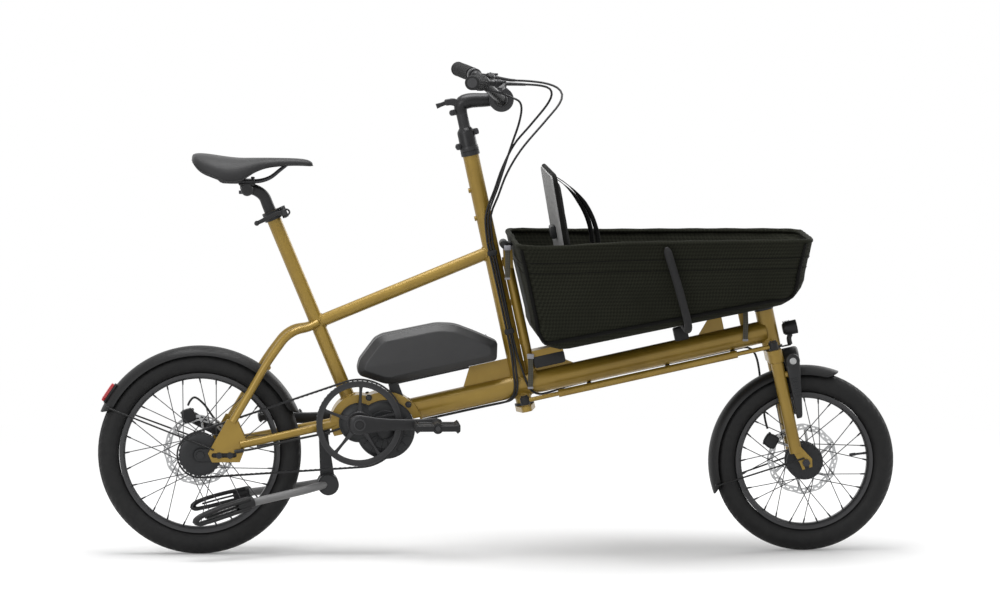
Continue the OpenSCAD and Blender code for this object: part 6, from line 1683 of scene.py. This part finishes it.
# Foam rubber sleeve: dark grey and dull, with pores about 1.2 mm across
sleeve_rubber = mottled("foam_rubber_sleeve", (25, 3.0), "#232324", "#313132",
    {"Roughness": 0.66, "Specular IOR Level": 0.2}, relief=(1.2, 3.0, 0.25, 0.0004))
hoop_half = [at(1030, -223.6, 699), at(1055, -203.8, 620), at(1062, -198.2, 597),
    at(1068.5, -186.4, 576), at(1076.5, -169.8, 550), at(1083, -152.4, 527),
    at(1086, -133, 513), at(1086, -118, 508.2), at(1086, -60, 508.1)]
hoop_path = smooth_run(hoop_half + [Vector((p.x, -p.y, p.z)) for p in reversed(hoop_half)], 120)
hoop_radii = [0.0089 * math.sqrt(1 - (1 - min(1.0, (min(i, 119 - i) + 0.25) / 3)) ** 2) for i in range(120)]
hoop = piece("basket_hoop", *tube(hoop_path, hoop_radii, 20), sleeve_rubber, "frame")
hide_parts("basket_rim")
piece("rim_hook", *joined(
    lathe([(4, -33), (8.6, -32), (9.6, -29), (9.6, 29), (8.6, 32), (4, 33)], at(682, 0, 693), TO_LEFT, 32),
    box((682, -22, 688), (700, 22, 698), 2, at)), black_nylon, "frame")

# Strap tails: grey woven webbing that hangs free from small pale buckles at the rim and both basket mounts.
# Each tail has a folded end under a moulded clip.

# Flat woven webbing: greenish grey and dull, its threads drawn at 2 mm so that they show
strap_grey = weave("flat_woven_webbing", "#4A4941", "#6A675D", 2)
# Moulded acetal: a pale cool grey with a half gloss
buckle_grey = mottled("moulded_acetal_buckle", (8, 2.0), "#8B8B92", "#A2A2A8", {"Roughness": 0.4})
TAIL_HALF_W, TAIL_HALF_T = 0.0058, 0.0008
tails = (
    ("rim_strap_tail", 688, -37.6, 690, 618), ("rear_strap_tail", 740, -31, 446, 372),
    ("front_strap_tail", 1222.6, -29, 550, 477))
buckles = []
for name, x, y, top, low in tails:
    hang = smooth_run((at(x, y + 1.5, top), at(x, y, top - 14),
        at(x + 0.6, y - 0.8, (top + low) / 2), at(x - 0.4, y - 0.2, low)), 24)
    strap_tail = piece(name, *band(hang, FORWARD, TAIL_HALF_W, TAIL_HALF_T), strap_grey, "frame")
    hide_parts("webbing")
    buckles.append(box((x - 7.6, y - 3.2, top - 9), (x + 7.6, y + 2.6, top + 2), 1, at))
    buckles.append(box((x - 6.2, y - 1.6, low - 3), (x + 6.2, y + 1.2, low + 2), 0.6, at))
piece("strap_buckles", *joined(*buckles), buckle_grey, "frame")

# Backrest: a pressed grey felt board with a bound edge and a stuffed black pad in front, on two flat legs
# that stand on the basket's floor. Two padded shoulder straps arch forward from its top.
LEAN = math.radians(9.5)


def on_back(x, y, z):
    """Millimetres ahead of, across and up the backrest from the middle of its top rear edge."""
    return at(775 + math.cos(LEAN) * x - math.sin(LEAN) * z, y, 857 + math.sin(LEAN) * x + math.cos(LEAN) * z)


# Pressed felt board: pale grey fibres, mottled 12 mm across, quite dull
felt_grey = mottled("pressed_felt_board", (12, 6.0), "#6E6E6E", "#B4B4B4",
    {"Roughness": 0.85}, relief=(1.5, 4.0, 0.3, 0.0006), Roughness=0.7)
board_outline = rounded([(-203, -238), (203, -238), (203, -2), (-203, -2)], 22, 6)


def board_put(y, x, z):
    """The same place with the way across first, as an outline gives it."""
    return on_back(x, y, z)


board = piece("backrest_board",
    *slab(board_outline, ((0.4, 1.2), (1.4, 0), (6, 0)), board_put), felt_grey, "frame")
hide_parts("backrest")
piece("backrest_edge_tape",
    *tube([board_put(p.x, 8, p.y) for p in board_outline], 0.0052, 12, closed=True), tape_black, "frame")
legs = [box((817.5, y - 8, 476.4), (827.5, y + 8, 622), 1.2, at) for y in (-140, 140)]
bracket = box((-12, -32, -152), (0.6, 32, -124), 2, on_back)
back_legs = piece("backrest_legs", *joined(*legs, bracket), cast_black, "frame")
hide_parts("backrest")


def plump(pad, cap, voxel=0.005):
    """Swell a closed pad in a short cloth simulation with pressure; no point moves farther than cap."""
    even = pad.modifiers.new("even_skin", "REMESH")
    even.mode = "VOXEL"
    even.voxel_size = voxel
    pad.data = bpy.data.meshes.new_from_object(pad.evaluated_get(bpy.context.evaluated_depsgraph_get()))
    pad.modifiers.clear()
    rest = [v.co.copy() for v in pad.data.vertices]
    cloth = pad.modifiers.new("stuffing", "CLOTH")
    cloth.settings.use_pressure = True
    cloth.settings.uniform_pressure_force = 4
    cloth.settings.effector_weights.gravity = 0
    for frame_number in range(1, 21):
        scene.frame_set(frame_number)
    pad.data = bpy.data.meshes.new_from_object(pad.evaluated_get(bpy.context.evaluated_depsgraph_get()))
    pad.modifiers.clear()
    for v, p in zip(pad.data.vertices, rest):
        step = v.co - p
        v.co = p + step * min(1.0, cap / max(step.length, 1e-9))
    scene.frame_set(1)
    pad.data.shade_smooth()


# Brushed polyester cover: black and dull, its threads drawn at 3 mm so that they show
pad_weave = weave("brushed_polyester_cover", "#121212", "#20201F", 3)
pad_outline = rounded([(-188, -226), (188, -226), (188, -12), (-188, -12)], 26, 6)
pad = piece("backrest_pad",
    *slab(pad_outline, ((6.4, 3), (8, 0.6), (10.5, 0), (13, 0.8), (14.4, 4)), board_put), pad_weave)
plump(pad, 0.005)
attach(pad, "frame")
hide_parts("backrest")
strap_shapes = []
for y, drop in ((-60, 0), (60, 6)):
    arc = [at(704.5 + (186 - drop) * math.cos(a), y, 684 + (186 - drop) * math.sin(a))
        for a in [math.radians(61.4 - 106.4 * i / 39) for i in range(40)]]
    thick = [0.0009 + 0.0042 * min(1.0, max(0.0, (i - 4) / 6))
        * min(1.0, max(0.15, (38 - i) / 5)) for i in range(40)]
    strap_shapes.append(band(arc, TO_LEFT, 0.015, thick))
harness = piece("shoulder_straps", *joined(*strap_shapes), pad_weave, "frame")
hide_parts("webbing")
